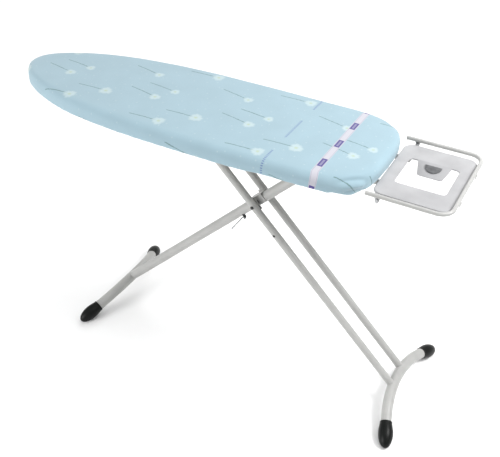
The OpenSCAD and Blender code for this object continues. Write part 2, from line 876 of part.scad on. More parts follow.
place() {
    cover();
    foam_pad();
    hem_elastic();
    deck_mesh();
    rim_frame();
    brace(post_x + post_length / 2, post_length);  // brace_rest
    brace(hinge_x, clevis_length);  // brace_hinge
    brace(guide_heel_x - brace_width / 2, brace_width);  // brace_guide_heel
    brace(guide_nose_x + brace_width / 2, brace_width);  // brace_guide_nose
    guide(NEAR);  // guide_near
    guide(FAR);  // guide_far
    guide_rivets();
    hinge_clevis();
    hinge_pin();
    rest_frame();
    rest_end_plugs();
    rest_tray();
    rest_heel_pad();
    rest_rod();
    rest_lugs();
    rest_tabs();
    rest_arm(NEAR);  // rest_arm_near
    rest_arm(FAR);  // rest_arm_far
    rest_posts();
    rest_bolts();
    main_leg_tube();
    main_frame() foot_tube();  // main_foot_tube
    main_cap(NEAR);  // main_cap_near
    main_cap(FAR);  // main_cap_far
    main_top_plug();
    pivot_saddle();
    lock_bush();
    slim_leg(NEAR);  // slim_leg_near
    slim_leg(FAR);  // slim_leg_far
    slim_frame() foot_tube();  // slim_foot_tube
    slim_cap(NEAR);  // slim_cap_near
    slim_cap(FAR);  // slim_cap_far
    slim_top_plugs();
    pivot_axle();
    pivot_plates();
    pivot_spacers();
    axle_caps();
    hole_plugs();
    slider_pin(NEAR);  // slider_pin_near
    slider_pin(FAR);  // slider_pin_far
    runner(NEAR);  // runner_near
    runner(FAR);  // runner_far
    cam_lever();
    lever_grip();
    lever_spring();
    lever_clip();
    lock_wire();
}
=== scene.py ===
"""Folding ironing board: the looks of each piece, built round the CAD frame.

Everything is in metres in the CAD's own frame: +X from the nose to the iron
rest, +Y to the far side, +Z up, the floor at z = 0.
"""

import json
import math

import bmesh
import bpy
from bpy.props import FloatProperty, FloatVectorProperty, IntProperty, PointerProperty
from mathutils import Matrix, Vector, noise


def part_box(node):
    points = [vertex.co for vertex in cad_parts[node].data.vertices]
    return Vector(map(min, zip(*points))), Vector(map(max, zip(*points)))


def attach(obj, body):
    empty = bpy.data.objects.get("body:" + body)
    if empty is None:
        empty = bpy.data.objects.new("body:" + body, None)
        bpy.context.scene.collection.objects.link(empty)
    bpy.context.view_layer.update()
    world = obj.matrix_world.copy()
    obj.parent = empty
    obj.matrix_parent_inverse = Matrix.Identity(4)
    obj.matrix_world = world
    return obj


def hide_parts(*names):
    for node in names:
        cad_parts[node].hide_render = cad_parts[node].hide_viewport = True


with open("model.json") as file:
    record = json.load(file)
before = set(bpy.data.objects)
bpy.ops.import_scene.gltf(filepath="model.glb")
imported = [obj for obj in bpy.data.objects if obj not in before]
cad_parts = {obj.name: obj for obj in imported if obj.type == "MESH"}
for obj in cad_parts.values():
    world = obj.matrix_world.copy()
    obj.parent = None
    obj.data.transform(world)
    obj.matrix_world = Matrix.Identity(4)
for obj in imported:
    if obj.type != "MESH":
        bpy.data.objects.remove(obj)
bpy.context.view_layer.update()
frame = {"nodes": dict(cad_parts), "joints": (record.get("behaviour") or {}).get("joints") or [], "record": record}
JOINTS = {joint["name"]: joint for joint in frame["joints"]}

bl_info = {
    "name": "Ironing board",
    "version": (1, 0, 0),
    "blender": (4, 5, 0),
    "location": "View3D > Sidebar > Ironing board",
    "description": "Builds the visible pieces of a folding ironing board",
    "category": "Add Mesh",
}

NEAR, FAR = -1, 1
CROSSING = Vector(JOINTS["leg_cross"]["pos_m"])


# ---- Sizes and colours ------------------------------------------------------


def length(name, default, description):
    return FloatProperty(
        name=name, description=description, default=default, unit="LENGTH"
    )


class IroningBoardCoverSizes(bpy.types.PropertyGroup):
    """Shape of the padded cover."""

    nose_length: length("Nose", 0.720, "Length of the tapering nose")
    heel_length: length("Heel", 0.255, "Length of the rounded heel")
    heel_power: FloatProperty(
        name="Heel power", description="Squareness of the heel", default=3.3
    )
    roll: length("Roll", 0.024, "Radius of the padded edge")
    crown: length("Crown", 0.0015, "Rise of the padding at the middle")
    cloth: length("Cloth", 0.0014, "Thickness of the cloth")
    turn: length("Turn", 0.007, "Radius where the skirt turns under")
    hem_reach: length("Hem reach", 0.035, "How far the hem is drawn in underneath")
    tip: length("Tip", 0.021, "How far the padding swells past the deck's nose")
    swell: length("Swell", 0.0035, "How far the long sides swell outwards")
    sag: length("Sag", 0.012, "How far the skirt hangs at the nose")
    slack: length("Slack", 0.0022, "How far the heel corners stand off the pad")
    corner_sag: length("Corner sag", 0.0052, "How far the heel corners hang")
    gather: length("Gather", 0.0018, "Height of the gathers along the hem")
    puff: length("Puff", 0.0018, "Most that the padding swells the cloth")
    steps: IntProperty(
        name="Steps", description="Points from nose to heel", default=300
    )


class IroningBoardPatternSizes(bpy.types.PropertyGroup):
    """Print on the cover."""

    repeat: length("Repeat", 0.3385, "Distance after which the print repeats")
    rows: length("Rows", 0.345, "Distance between rows of the print")
    stem: length("Stem", 0.104, "Length of a flower stem")
    tick_x: length("Ticks", 0.2215, "Place of the row of ticks")
    band_x: length("Band", 0.3709, "Middle of the white band across the heel")
    band: length("Band width", 0.022, "Width of the white band")
    block: length("Block", 0.044, "Length of a block on the band")
    block_step: length("Block step", 0.119, "Distance between blocks")


class IroningBoardFootSizes(bpy.types.PropertyGroup):
    """Rubber caps on the arched feet."""

    lower_arm: length("Lower arm", 0.765604, "Crossing to the top of the arch")
    bend_radius: length("Bend radius", 0.390, "Bend radius of the foot tubes")
    bend_angle: FloatProperty(
        name="Bend angle",
        description="Half the angle of the foot bend",
        default=math.radians(27),
        subtype="ANGLE",
    )
    leg_angle: FloatProperty(
        name="Leg angle",
        description="Angle of the legs to the floor",
        default=math.radians(45),
        subtype="ANGLE",
    )
    tube: length("Tube", 0.018, "Outer radius of the foot tubes")
    cap: length("Cap", 0.024, "Largest radius of a cap")
    seat: length("Seat", 0.038, "Open end to the widest ring")
    nose: length("Nose", 0.049, "Widest ring to the tip")


def colour(name, code):
    return FloatVectorProperty(
        name=name,
        description="Colour of the " + name.lower(),
        default=srgb(code)[:3],
        subtype="COLOR",
        size=3,
        min=0,
        max=1,
    )


def srgb(code):
    """Linear RGBA of an sRGB hex value such as #8FB2C4."""
    channels = [int(code[i : i + 2], 16) / 255 for i in (1, 3, 5)]
    return [
        c / 12.92 if c <= 0.04045 else ((c + 0.055) / 1.055) ** 2.4 for c in channels
    ] + [1.0]


class IroningBoardColours(bpy.types.PropertyGroup):
    """Colours of the object."""

    cloth: colour("Cloth", "#90A9B4")
    petal: colour("Petals", "#AFC0C2")
    heart: colour("Flower heart", "#9FAC80")
    stem: colour("Stems", "#4E6C68")
    band: colour("Band", "#B2B0B8")
    block: colour("Blocks", "#463D7C")
    ticks: colour("Ticks", "#4F6398")
    coat: colour("Powder coat", "#A9A9A7")
    tray: colour("Tray", "#9C9C9E")
    zinc: colour("Zinc plate", "#B4B6B8")
    light_grey: colour("Light grey plastic", "#A2A3A4")
    pad: colour("Grey plastic", "#58595B")
    black: colour("Black plastic", "#151717")
    rubber: colour("Rubber", "#101211")
    felt: colour("Felt", "#DEDCD4")


GROUPS = {
    "board_cover": IroningBoardCoverSizes,
    "board_pattern": IroningBoardPatternSizes,
    "board_foot": IroningBoardFootSizes,
    "board_colours": IroningBoardColours,
}


# ---- Small tools ------------------------------------------------------------


def deselect():
    """Back to object mode with nothing selected."""
    if bpy.context.object and bpy.context.object.mode != "OBJECT":
        bpy.ops.object.mode_set(mode="OBJECT")
    bpy.ops.object.select_all(action="DESELECT")


def only(obj):
    """Makes the object the active one and the only one selected."""
    deselect()
    bpy.context.view_layer.objects.active = obj
    obj.select_set(True)


def enter(mode):
    bpy.ops.object.mode_set(mode=mode)


def select_whole(kind="VERT"):
    """In edit mode, selects the whole mesh by its verts, edges or faces."""
    bpy.ops.mesh.select_mode(type=kind)
    bpy.ops.mesh.select_all(action="SELECT")


def pick(kind, test):
    """In edit mode, selects only the verts, edges or faces that pass the test."""
    mode = {"verts": "VERT", "edges": "EDGE", "faces": "FACE"}[kind]
    bpy.ops.mesh.select_mode(type=mode)
    bpy.ops.mesh.select_all(action="DESELECT")
    mesh = bpy.context.object.data
    shape = bmesh.from_edit_mesh(mesh)
    for item in getattr(shape, kind):
        item.select_set(bool(test(item)))
    shape.select_flush_mode()
    bmesh.update_edit_mesh(mesh)


def tidy_normals(merge=1e-5):
    """In edit mode, welds doubles and points every face outwards."""
    select_whole()
    bpy.ops.mesh.remove_doubles(threshold=merge)
    bpy.ops.mesh.normals_make_consistent(inside=False)


def modify(obj, kind, **settings):
    """Adds a modifier with its settings and applies it."""
    only(obj)
    made = obj.modifiers.new(kind.title(), kind)
    for key, value in settings.items():
        setattr(made, key, value)
    bpy.ops.object.modifier_apply(modifier=made.name)


def bevel(obj, width, segments=3, angle=35):
    modify(
        obj,
        "BEVEL",
        width=width,
        segments=segments,
        limit_method="ANGLE",
        angle_limit=math.radians(angle),
        harden_normals=False,
    )


def finish_piece(obj, name, body, material, replaced=(), smooth=40):
    """Places the piece in its own mesh, shades it and ties it to the frame."""
    only(obj)
    bpy.ops.object.transform_apply(location=True, rotation=True, scale=True)
    bpy.ops.object.shade_smooth_by_angle(angle=math.radians(smooth))
    obj.name = obj.data.name = name
    obj.data.materials.clear()
    obj.data.materials.append(material)
    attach(obj, body)
    if replaced:
        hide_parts(*replaced)
    deselect()
    return obj


def join(pieces):
    deselect()
    for piece in pieces:
        piece.select_set(True)
    bpy.context.view_layer.objects.active = pieces[0]
    bpy.ops.object.join()
    return bpy.context.object


def lathe(profile, centre, axis, steps=48, angle=math.tau, start=None):
    """Turns (radius, along) points about the axis through the centre."""
    axis = Vector(axis).normalized()
    side = Vector(start) if start else axis.orthogonal().normalized()
    centre = Vector(centre)
    points = [centre + axis * along + side * radius for radius, along in profile]
    deselect()
    bpy.ops.mesh.primitive_plane_add(size=0.001, location=points[0])
    obj = bpy.context.object
    enter("EDIT")
    select_whole()
    bpy.ops.mesh.merge(type="CENTER")
    for last, point in zip(points, points[1:]):
        bpy.ops.mesh.extrude_vertices_move(
            TRANSFORM_OT_translate={"value": point - last}
        )
    select_whole()
    bpy.ops.mesh.spin(steps=steps, angle=angle, center=centre, axis=axis)
    tidy_normals()
    enter("OBJECT")
    return obj


def slab(low, high):
    """A box between two corners."""
    low, high = Vector(low), Vector(high)
    deselect()
    bpy.ops.mesh.primitive_cube_add(
        size=1, location=(low + high) / 2, scale=high - low
    )
    obj = bpy.context.object
    bpy.ops.object.transform_apply(location=True, rotation=True, scale=True)
    return obj


def rounded_sheet(low, high, z, radius, segments=8):
    """A flat sheet with round corners, left in edit mode."""
    deselect()
    size = (high[0] - low[0], high[1] - low[1], 1)
    middle = ((low[0] + high[0]) / 2, (low[1] + high[1]) / 2, z)
    bpy.ops.mesh.primitive_plane_add(size=1, location=middle)
    obj = bpy.context.object
    obj.scale = size
    bpy.ops.object.transform_apply(location=True, rotation=True, scale=True)
    enter("EDIT")
    select_whole()
    bpy.ops.mesh.bevel(offset=radius, segments=segments, affect="VERTICES")
    return obj


# ---- Materials --------------------------------------------------------------


def fill(made, inputs):
    """Sets a node's inputs, each by a value or by linking a socket."""
    pairs = inputs.items() if isinstance(inputs, dict) else enumerate(inputs)
    for key, value in pairs:
        if isinstance(value, bpy.types.NodeSocket):
            made.id_data.links.new(value, made.inputs[key])
        else:
            made.inputs[key].default_value = value


def add(tree, kind, inputs=(), out=0, **settings):
    """Adds a node with its settings and inputs, and gives back an output."""
    made = tree.nodes.new("ShaderNode" + kind)
    for key, value in settings.items():
        setattr(made, key, value)
    fill(made, inputs)
    return made.outputs[out]


def new_material(name):
    """An empty material, its tree, its shader and its place in millimetres."""
    material = bpy.data.materials.new(name)
    material.use_nodes = True
    tree = material.node_tree
    metres = add(tree, "TexCoord", out="Object")
    place = add(
        tree, "VectorMath", {0: metres, "Scale": 1000.0}, operation="SCALE"
    )
    return material, tree, tree.nodes["Principled BSDF"], place


def shade(values, factor=1.0, lift=0.0):
    """A colour made darker or lighter, as RGBA."""
    return [min(1.0, c * factor + lift) for c in values[:3]] + [1.0]


def worn_finish(name, tone, worn, cloud, spread, roughness, grain, bump, metallic=0.0):
    """A finish whose colour and gloss drift from fresh to worn, over a fine grain.

    The cloud and the grain are noise settings, the spread is where the cloud
    turns from fresh to worn, and the bump is the grain's strength and height.
    """
    material, tree, shader, place = new_material(name)
    wear = add(tree, "TexNoise", {"Vector": place, **cloud})
    wear = add(tree, "MapRange", (wear, *spread, 0.0, 1.0))
    fine = add(tree, "TexNoise", {"Vector": place, **grain})
    fill(shader, {
        "Base Color": add(
            tree, "Mix", {0: wear, 6: shade(tone), 7: worn}, 2, data_type="RGBA"
        ),
        "Metallic": metallic,
        "Roughness": add(tree, "MapRange", (wear, 0.0, 1.0, *roughness)),
        "Normal": add(
            tree, "Bump", {"Height": fine, "Strength": bump[0], "Distance": bump[1]}
        ),
    })
    return material


def powder_coated_steel(name, tone, gloss=0.36):
    """Sprayed and baked powder on steel: a soft sheen over a faint orange peel,
    duller and a little darker where hands have rubbed it."""
    # The peel is 0.5 to 1 mm across in life, drawn at 1.6 mm so that it shows.
    return worn_finish(
        name, tone, shade(tone, 0.9), {"Scale": 1 / 60, "Detail": 4.0}, (0.35, 0.7),
        (gloss, gloss + 0.14), {"Scale": 1 / 1.6, "Detail": 1.0}, (0.1, 0.0003),
    )


def zinc_plated_steel(name, tone):
    """Electroplated zinc: bright grey metal, clouded where it is passivated."""
    # Plating grain is far finer in life; it is drawn at 0.8 mm so that it shows.
    return worn_finish(
        name, tone, shade(tone, 0.72), {"Scale": 1 / 9, "Detail": 3.0}, (0.3, 0.7),
        (0.3, 0.48), {"Scale": 1 / 0.8}, (0.08, 0.0001), metallic=1.0,
    )


def moulded_plastic(name, tone):
    """Injection-moulded plastic: spark-eroded grain, polished by handling."""
    # Moulded grain is about 0.2 mm across; it is drawn at 0.9 mm.
    return worn_finish(
        name, tone, shade(tone, 1.3, 0.01), {"Scale": 1 / 14, "Detail": 4.0},
        (0.4, 0.72), (0.52, 0.4), {"Scale": 1 / 0.9}, (0.14, 0.0002),
    )


def moulded_rubber(name, tone):
    """Carbon-black rubber: a broad dull sheen, greyed by dust near the floor."""
    material, tree, shader, place = new_material(name)
    height = add(tree, "SeparateXYZ", (place,), 2)
    low = add(tree, "MapRange", (height, 2.0, 18.0, 1.0, 0.0))
    smear = add(tree, "TexNoise", {"Vector": place, "Scale": 1 / 5, "Detail": 4.0})
    dust = add(tree, "Math", (low, smear), operation="MULTIPLY")
    skin = add(tree, "TexNoise", {"Vector": place, "Scale": 1 / 1.4, "Detail": 3.0})
    tint = add(
        tree, "Mix", {0: dust, 6: shade(tone), 7: shade(tone, 0.5, 0.03)}, 2,
        data_type="RGBA",
    )
    fill(shader, {
        "Base Color": tint,
        "Roughness": add(tree, "MapRange", (dust, 0.0, 0.6, 0.38, 0.75)),
        "Specular IOR Level": 0.16,
        "Normal": add(
            tree, "Bump", {"Height": skin, "Strength": 0.16, "Distance": 0.00025}
        ),
    })
    return material


def expanded_steel(name, coat, felt):
    """Expanded sheet steel, powder coated: raised diamond strands over pale felt
    that shows through the holes."""
    material, tree, shader, place = new_material(name)
    x = add(tree, "SeparateXYZ", (place,), 0)
    y = add(tree, "SeparateXYZ", (place,), 1)
    # Diamonds 20 mm long and 8 mm wide, with strands about 2 mm thick.
    along = add(tree, "Math", (x, 20.0), operation="DIVIDE")
    across = add(tree, "Math", (y, 8.0), operation="DIVIDE")
    strands = []
    for lean in ("ADD", "SUBTRACT"):
        run = add(tree, "Math", (along, across), operation=lean)
        strands.append(add(tree, "Math", (run, 0.5), operation="PINGPONG"))
    nearest = add(tree, "Math", strands, operation="MINIMUM")
    hole = add(tree, "MapRange", (nearest, 0.11, 0.15, 0.0, 1.0))
    fibre = add(tree, "TexNoise", {"Vector": place, "Scale": 1 / 2, "Detail": 3.0})
    fluff = add(
        tree, "Mix", {0: fibre, 6: shade(felt), 7: shade(felt, 0.7)}, 2,
        data_type="RGBA",
    )
    fill(shader, {
        "Base Color": add(
            tree, "Mix", {0: hole, 6: shade(coat), 7: fluff}, 2, data_type="RGBA"
        ),
        "Roughness": add(tree, "MapRange", (hole, 0.0, 1.0, 0.42, 0.95)),
        "Normal": add(
            tree, "Bump", {"Height": hole, "Strength": 0.9, "Distance": 0.0015},
            invert=True,
        ),
    })
    return material


def needled_felt(name, tone):
    """Needle-punched polyester felt: matt, with matted fibres of mixed length."""
    material, tree, shader, place = new_material(name)
    # Fibres are hair-thin; their tufts are drawn at 2 mm.
    fibre = add(
        tree, "TexNoise",
        {"Vector": place, "Scale": 1 / 2, "Detail": 6.0, "Roughness": 0.7},
    )
    fill(shader, {
        "Base Color": add(
            tree, "Mix", {0: fibre, 6: shade(tone), 7: shade(tone, 0.78)}, 2,
            data_type="RGBA",
        ),
        "Roughness": 0.95,
        "Normal": add(
            tree, "Bump", {"Height": fibre, "Strength": 0.5, "Distance": 0.0006}
        ),
    })
    return material


def flower_group():
    """A node group that draws one flower and its stem, repeated over the cloth."""
    group = bpy.data.node_groups.new("repeating flower", "ShaderNodeTree")
    for name, kind in (
        ("Place", "NodeSocketVector"), ("Centre", "NodeSocketVector"),
        ("Repeat", "NodeSocketFloat"), ("Rows", "NodeSocketFloat"),
        ("Radius", "NodeSocketFloat"), ("Stem", "NodeSocketFloat"),
        ("Lean", "NodeSocketFloat"), ("Turn", "NodeSocketFloat"),
    ):
        group.interface.new_socket(name, in_out="INPUT", socket_type=kind)
    for name in ("Petals", "Heart", "Stem"):
        group.interface.new_socket(
            name, in_out="OUTPUT", socket_type="NodeSocketFloat"
        )
    given = group.nodes.new("NodeGroupInput").outputs
    shown = group.nodes.new("NodeGroupOutput")
    radius, stem_length = given["Radius"], given["Stem"]

    offset = add(
        group, "VectorMath", (given["Place"], given["Centre"]),
        operation="SUBTRACT",
    )
    wrapped = []
    for axis, repeat in enumerate(("Repeat", "Rows")):
        run = add(group, "SeparateXYZ", (offset,), axis)
        half = add(group, "Math", (given[repeat], 0.5), operation="MULTIPLY")
        back = add(group, "Math", (given[repeat], -0.5), operation="MULTIPLY")
        wrapped.append(add(group, "Math", (run, half, back), operation="WRAP"))
    x, y = wrapped
    flat = add(group, "CombineXYZ", (x, y))
    away = add(group, "VectorMath", (flat,), "Value", operation="LENGTH")

    # Ragged petals: a wide lobe and a narrow one share the rim.
    angle = add(group, "Math", (y, x), operation="ARCTAN2")
    angle = add(group, "Math", (angle, given["Turn"]), operation="ADD")
    rim = 0.94
    for turns, depth in ((3.0, 0.09), (8.0, 0.06), (17.0, 0.04)):
        around = add(group, "Math", (angle, turns), operation="MULTIPLY")
        wave = add(group, "Math", (around,), operation="SINE")
        rim = add(group, "Math", (wave, depth, rim), operation="MULTIPLY_ADD")
    edge = add(group, "Math", (radius, rim), operation="MULTIPLY")
    ratio = add(group, "Math", (away, edge), operation="DIVIDE")
    petals = add(
        group, "MapRange", (ratio, 0.62, 1.1, 1.0, 0.0),
        interpolation_type="SMOOTHSTEP",
    )
    around = add(group, "Math", (angle, 23.0), operation="MULTIPLY")
    fibre = add(group, "Math", (around,), operation="SINE")
    fibre = add(group, "MapRange", (fibre, -1.0, 1.0, 0.8, 1.0))
    petals = add(group, "Math", (petals, fibre), operation="MULTIPLY")

    across = add(group, "Math", (away, radius), operation="DIVIDE")
    heart = add(
        group, "MapRange", (across, 0.12, 0.34, 1.0, 0.0),
        interpolation_type="SMOOTHSTEP",
    )

    # The stem leaves the petals towards the nose, leaning and bowing a little.
    run = add(group, "Math", (x, stem_length), operation="DIVIDE")
    run = add(group, "Math", (run, -1.0), operation="MULTIPLY")
    left = add(group, "Math", (1.0, run), operation="SUBTRACT")
    bow = add(group, "Math", (run, left), operation="MULTIPLY")
    bow = add(group, "Math", (bow, 0.007), operation="MULTIPLY")
    lean = add(group, "Math", (given["Lean"], stem_length), operation="MULTIPLY")
    line = add(group, "Math", (lean, run, bow), operation="MULTIPLY_ADD")
    beside = add(group, "Math", (y, line), operation="SUBTRACT")
    beside = add(group, "Math", (beside,), operation="ABSOLUTE")
    stem = add(group, "MapRange", (beside, 0.0010, 0.0021, 1.0, 0.0))
    begun = add(group, "Math", (run, 0.1), operation="GREATER_THAN")
    going = add(group, "Math", (run, 1.0), operation="LESS_THAN")
    stem = add(group, "Math", (stem, begun), operation="MULTIPLY")
    stem = add(group, "Math", (stem, going), operation="MULTIPLY")
    fill(shown, {"Petals": petals, "Heart": heart, "Stem": stem})
    return group


# Flowers in one repeat of the print: centre x and y, radius, lean and turn.
FLOWERS = (
    (-0.583, -0.037, 0.0205, 0.20, 0.3),
    (-0.546, 0.023, 0.0175, 0.12, 1.2),
    (-0.320, 0.093, 0.0185, 0.23, 2.0),
    (-0.402, -0.089, 0.0240, -0.05, 0.7),
    (-0.150, -0.169, 0.0225, -0.05, 1.7),
)
# How far the print drifts off the cloth's threads, along it and across it.
SKEW_ALONG, SKEW_ACROSS = -0.023, 0.028


def printed_cotton(name, colours, sizes):
    """Plain-weave cotton with a soft-edged print: matt threads that lighten a
    little at grazing angles, and slubs where the yarn is thicker."""
    material, tree, shader, _ = new_material(name)
    laid = add(tree, "UVMap", uv_map="laid flat")
    u = add(tree, "SeparateXYZ", (laid,), 0)
    v = add(tree, "SeparateXYZ", (laid,), 1)
    cloth = add(tree, "VectorMath", {0: laid, "Scale": 1000.0}, operation="SCALE")

    # The print wanders by a millimetre or two and lies slightly askew.
    wander = add(tree, "TexNoise", {"Vector": cloth, "Scale": 1 / 7})
    drift = add(tree, "MapRange", (wander, 0.0, 1.0, -0.0024, 0.0024))
    along = add(tree, "Math", (v, SKEW_ALONG, u), operation="MULTIPLY_ADD")
    askew = add(tree, "Math", (u, SKEW_ACROSS, v), operation="MULTIPLY_ADD")
    place = add(tree, "CombineXYZ", (
        add(tree, "Math", (along, drift), operation="ADD"),
        add(tree, "Math", (askew, drift), operation="ADD"),
    ))
    group = flower_group()
    prints = {}
    for x, y, radius, lean, turn in FLOWERS:
        flower = tree.nodes.new("ShaderNodeGroup")
        flower.node_tree = group
        fill(flower, {
            "Place": place,
            "Centre": (x + SKEW_ALONG * y, y + SKEW_ACROSS * x, 0.0),
            "Repeat": sizes.repeat, "Rows": sizes.rows, "Radius": radius,
            "Stem": sizes.stem, "Lean": lean, "Turn": turn,
        })
        for key in ("Stem", "Petals", "Heart"):
            mask = flower.outputs[key]
            if key in prints:
                mask = add(tree, "Math", (prints[key], mask), operation="MAXIMUM")
            prints[key] = mask

    # Dyed ground: slight shade changes from dyeing and handling.
    cloud = add(tree, "TexNoise", {"Vector": cloth, "Scale": 1 / 110, "Detail": 3.0})
    dye = add(tree, "MapRange", (cloud, 0.3, 0.7, 0.0, 1.0))
    specks = add(
        tree, "TexVoronoi", {"Vector": cloth, "Scale": 1 / 46, "Randomness": 0.9},
        voronoi_dimensions="2D",
    )
    speck = add(tree, "MapRange", (specks, 0.035, 0.065, 0.35, 0.0))

    from_lines = []
    for line_x in (sizes.tick_x, sizes.band_x):
        off = add(tree, "Math", (u, line_x), operation="SUBTRACT")
        from_lines.append(add(tree, "Math", (off,), operation="ABSOLUTE"))
    from_row, from_band = from_lines

    # A row of plain ticks 6 mm long, one every 7 mm, in runs of 118 mm that start
    # 200 mm apart.
    ticks = add(tree, "MapRange", (from_row, 0.0030, 0.0036, 0.8, 0.0))
    step = add(tree, "Math", (v, 0.0035), operation="PINGPONG")
    step = add(tree, "MapRange", (step, 0.0014, 0.0020, 1.0, 0.0))
    ticks = add(tree, "Math", (ticks, step), operation="MULTIPLY")
    run = add(tree, "Math", (v, 0.27), operation="ADD")
    run = add(tree, "Math", (run, 0.2, 0.0), operation="WRAP")
    run = add(tree, "Math", (run, 0.118), operation="LESS_THAN")
    ticks = add(tree, "Math", (ticks, run), operation="MULTIPLY")

    # A white band across the heel end, with plain blocks along it.
    half = sizes.band / 2
    band = add(tree, "MapRange", (from_band, half - 0.0005, half + 0.0005, 1.0, 0.0))
    piping = add(tree, "Math", (from_band, half - 0.0022), operation="SUBTRACT")
    piping = add(tree, "Math", (piping,), operation="ABSOLUTE")
    piping = add(tree, "MapRange", (piping, 0.0004, 0.0010, 1.0, 0.0))
    from_block = add(tree, "Math", (v, 0.023), operation="ADD")
    half = sizes.block_step / 2
    from_block = add(tree, "Math", (from_block, half, -half), operation="WRAP")
    from_block = add(tree, "Math", (from_block,), operation="ABSOLUTE")
    # Half the width and half the length of a block, and of the inlay in it.
    blocks = {}
    for key, width, long in (
        ("block", 0.0082, sizes.block / 2), ("inlay", 0.0034, sizes.block / 2 - 0.006)
    ):
        wide = add(tree, "MapRange", (from_band, width - 0.0005, width, 1.0, 0.0))
        far = add(tree, "MapRange", (from_block, long - 0.0005, long, 1.0, 0.0))
        blocks[key] = add(tree, "Math", (wide, far), operation="MULTIPLY")
    inlay = add(tree, "Math", (blocks["inlay"], 0.35), operation="MULTIPLY")

    tint = add(
        tree, "Mix", {0: dye, 6: shade(colours.cloth), 7: shade(colours.cloth, 0.94)},
        2, data_type="RGBA",
    )
    for mask, ink, strength in (
        (speck, colours.petal, 1.0),
        (prints["Stem"], colours.stem, 0.75),
        (prints["Petals"], colours.petal, 0.8),
        (prints["Heart"], colours.heart, 0.55),
        (ticks, colours.ticks, 1.0),
        (band, colours.band, 0.95),
        (piping, colours.block, 0.35),
        (blocks["block"], colours.block, 1.0),
        (inlay, colours.band, 1.0),
    ):
        mask = add(tree, "Math", (mask, strength), operation="MULTIPLY")
        tint = add(
            tree, "Mix", {0: mask, 6: tint, 7: shade(ink)}, 2, data_type="RGBA"
        )

    # Threads lie about 0.4 mm apart; they are drawn at 1.1 mm so that they show.
    threads = []
    for flat in (u, v):
        turns = add(tree, "Math", (flat, 1000 * math.tau / 1.1), operation="MULTIPLY")
        threads.append(add(tree, "Math", (turns,), operation="SINE"))
    weave = add(tree, "Math", threads, operation="MULTIPLY")
    slub = add(tree, "TexNoise", {"Vector": cloth, "Scale": 1 / 5, "Detail": 3.0})
    height = add(tree, "Math", (weave, 0.3, slub), operation="MULTIPLY_ADD")
    fill(shader, {
        "Base Color": tint,
        "Roughness": add(tree, "MapRange", (weave, -1.0, 1.0, 0.76, 0.9)),
        "Sheen Weight": 0.25,
        "Sheen Roughness": 0.5,
        "Specular IOR Level": 0.3,
        "Normal": add(
            tree, "Bump", {"Height": height, "Strength": 0.2, "Distance": 0.00035}
        ),
    })
    return material


MATERIALS = {}


def make_materials():
    """Makes every finish once, by the name of its slot or of its one piece."""
    colours = bpy.context.scene.board_colours
    MATERIALS.update(
        cover_cloth=printed_cotton(
            "printed plain-weave cotton", colours, bpy.context.scene.board_pattern
        ),
        foam=needled_felt("needled polyester felt", colours.felt),
        painted_steel=powder_coated_steel("powder-coated steel tube", colours.coat),
        tray_steel=powder_coated_steel("powder-coated steel sheet", colours.tray, 0.3),
        deck=expanded_steel("expanded steel mesh", colours.coat, colours.felt),
        zinc_steel=zinc_plated_steel("zinc-plated steel", colours.zinc),
        grey_plastic=moulded_plastic("moulded grey ABS", colours.pad),
        light_plastic=moulded_plastic("moulded light grey ABS", colours.light_grey),
        black_plastic=moulded_plastic("moulded black polypropylene", colours.black),
        black_rubber=moulded_rubber("moulded black rubber", colours.rubber),
    )


# ---- The padded cover -------------------------------------------------------


TIP_REACH = 0.1  # How far in from the edge the padded nose swells forwards.


class Outline:
    """The board's outline at any inset, as the frame has it."""

    def __init__(self, sizes):
        low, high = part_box("cover")
        self.half = (high.y - low.y) / 2
        self.nose, self.heel = sizes.nose_length, sizes.heel_length
        self.power, self.tip = sizes.heel_power, sizes.tip
        self.nose_x, self.heel_x = low.x + self.nose, high.x - self.heel
        self.places = self.even_places(sizes.steps)

    def far_point(self, k, inset):
        """The far side at k: 0 to 1 nose, 1 to 2 straight, 2 to 3 heel."""
        half = self.half - inset
        if k <= 1:
            t = math.pi / 2 * (0.5 - 0.5 * math.cos(math.pi * k))
            x = self.nose_x - (self.nose - inset) * math.cos(t) ** 0.8
            x -= self.tip * max(0.0, 1 - inset / TIP_REACH) * math.cos(t) ** 5
            return x, half * math.sin(t)
        if k < 2:
            return self.nose_x + (self.heel_x - self.nose_x) * (k - 1), half
        t = math.pi / 2 * (0.5 - 0.5 * math.cos(math.pi * (k - 2)))
        power = 2 / self.power
        x = self.heel_x + (self.heel - inset) * math.sin(t) ** power
        return x, half * max(0.0, math.cos(t)) ** power

    def even_places(self, steps):
        """Values of k that are evenly spaced along the edge of the board."""
        fine = [3 * i / 6000 for i in range(6001)]
        points = [self.far_point(k, 0) for k in fine]
        run = [0.0]
        for a, b in zip(points, points[1:]):
            run.append(run[-1] + math.dist(a, b))
        places, at = [], 0
        for i in range(steps + 1):
            goal = run[-1] * i / steps
            while at < 5999 and run[at + 1] < goal:
                at += 1
            places.append(fine[at])
        places[-1] = 3.0
        return places

    def ring(self, inset):
        """Points right round, from the nose tip along the far side."""
        far = [self.far_point(k, inset) for k in self.places]
        far[0] = (far[0][0], 0.0)
        far[-1] = (far[-1][0], 0.0)
        return far + [(x, -y) for x, y in far[-2:0:-1]]


# Folds at the near heel corner, on the cloth laid flat: the start, the end,
# the width and the height. The far corner has weaker ones.
FOLDS = (
    ((0.438, -0.199), (0.507, -0.137), 0.0052, -0.0066),
    ((0.446, -0.212), (0.516, -0.149), 0.0062, 0.0062),
    ((0.458, -0.226), (0.522, -0.165), 0.0050, -0.0046),
    ((0.464, -0.240), (0.528, -0.180), 0.0064, 0.0042),
    ((0.507, -0.137), (0.533, -0.168), 0.0045, -0.0024),
    ((0.400, -0.222), (0.462, -0.246), 0.0070, -0.0018),
    ((0.395, -0.236), (0.450, -0.256), 0.0070, 0.0018),
)


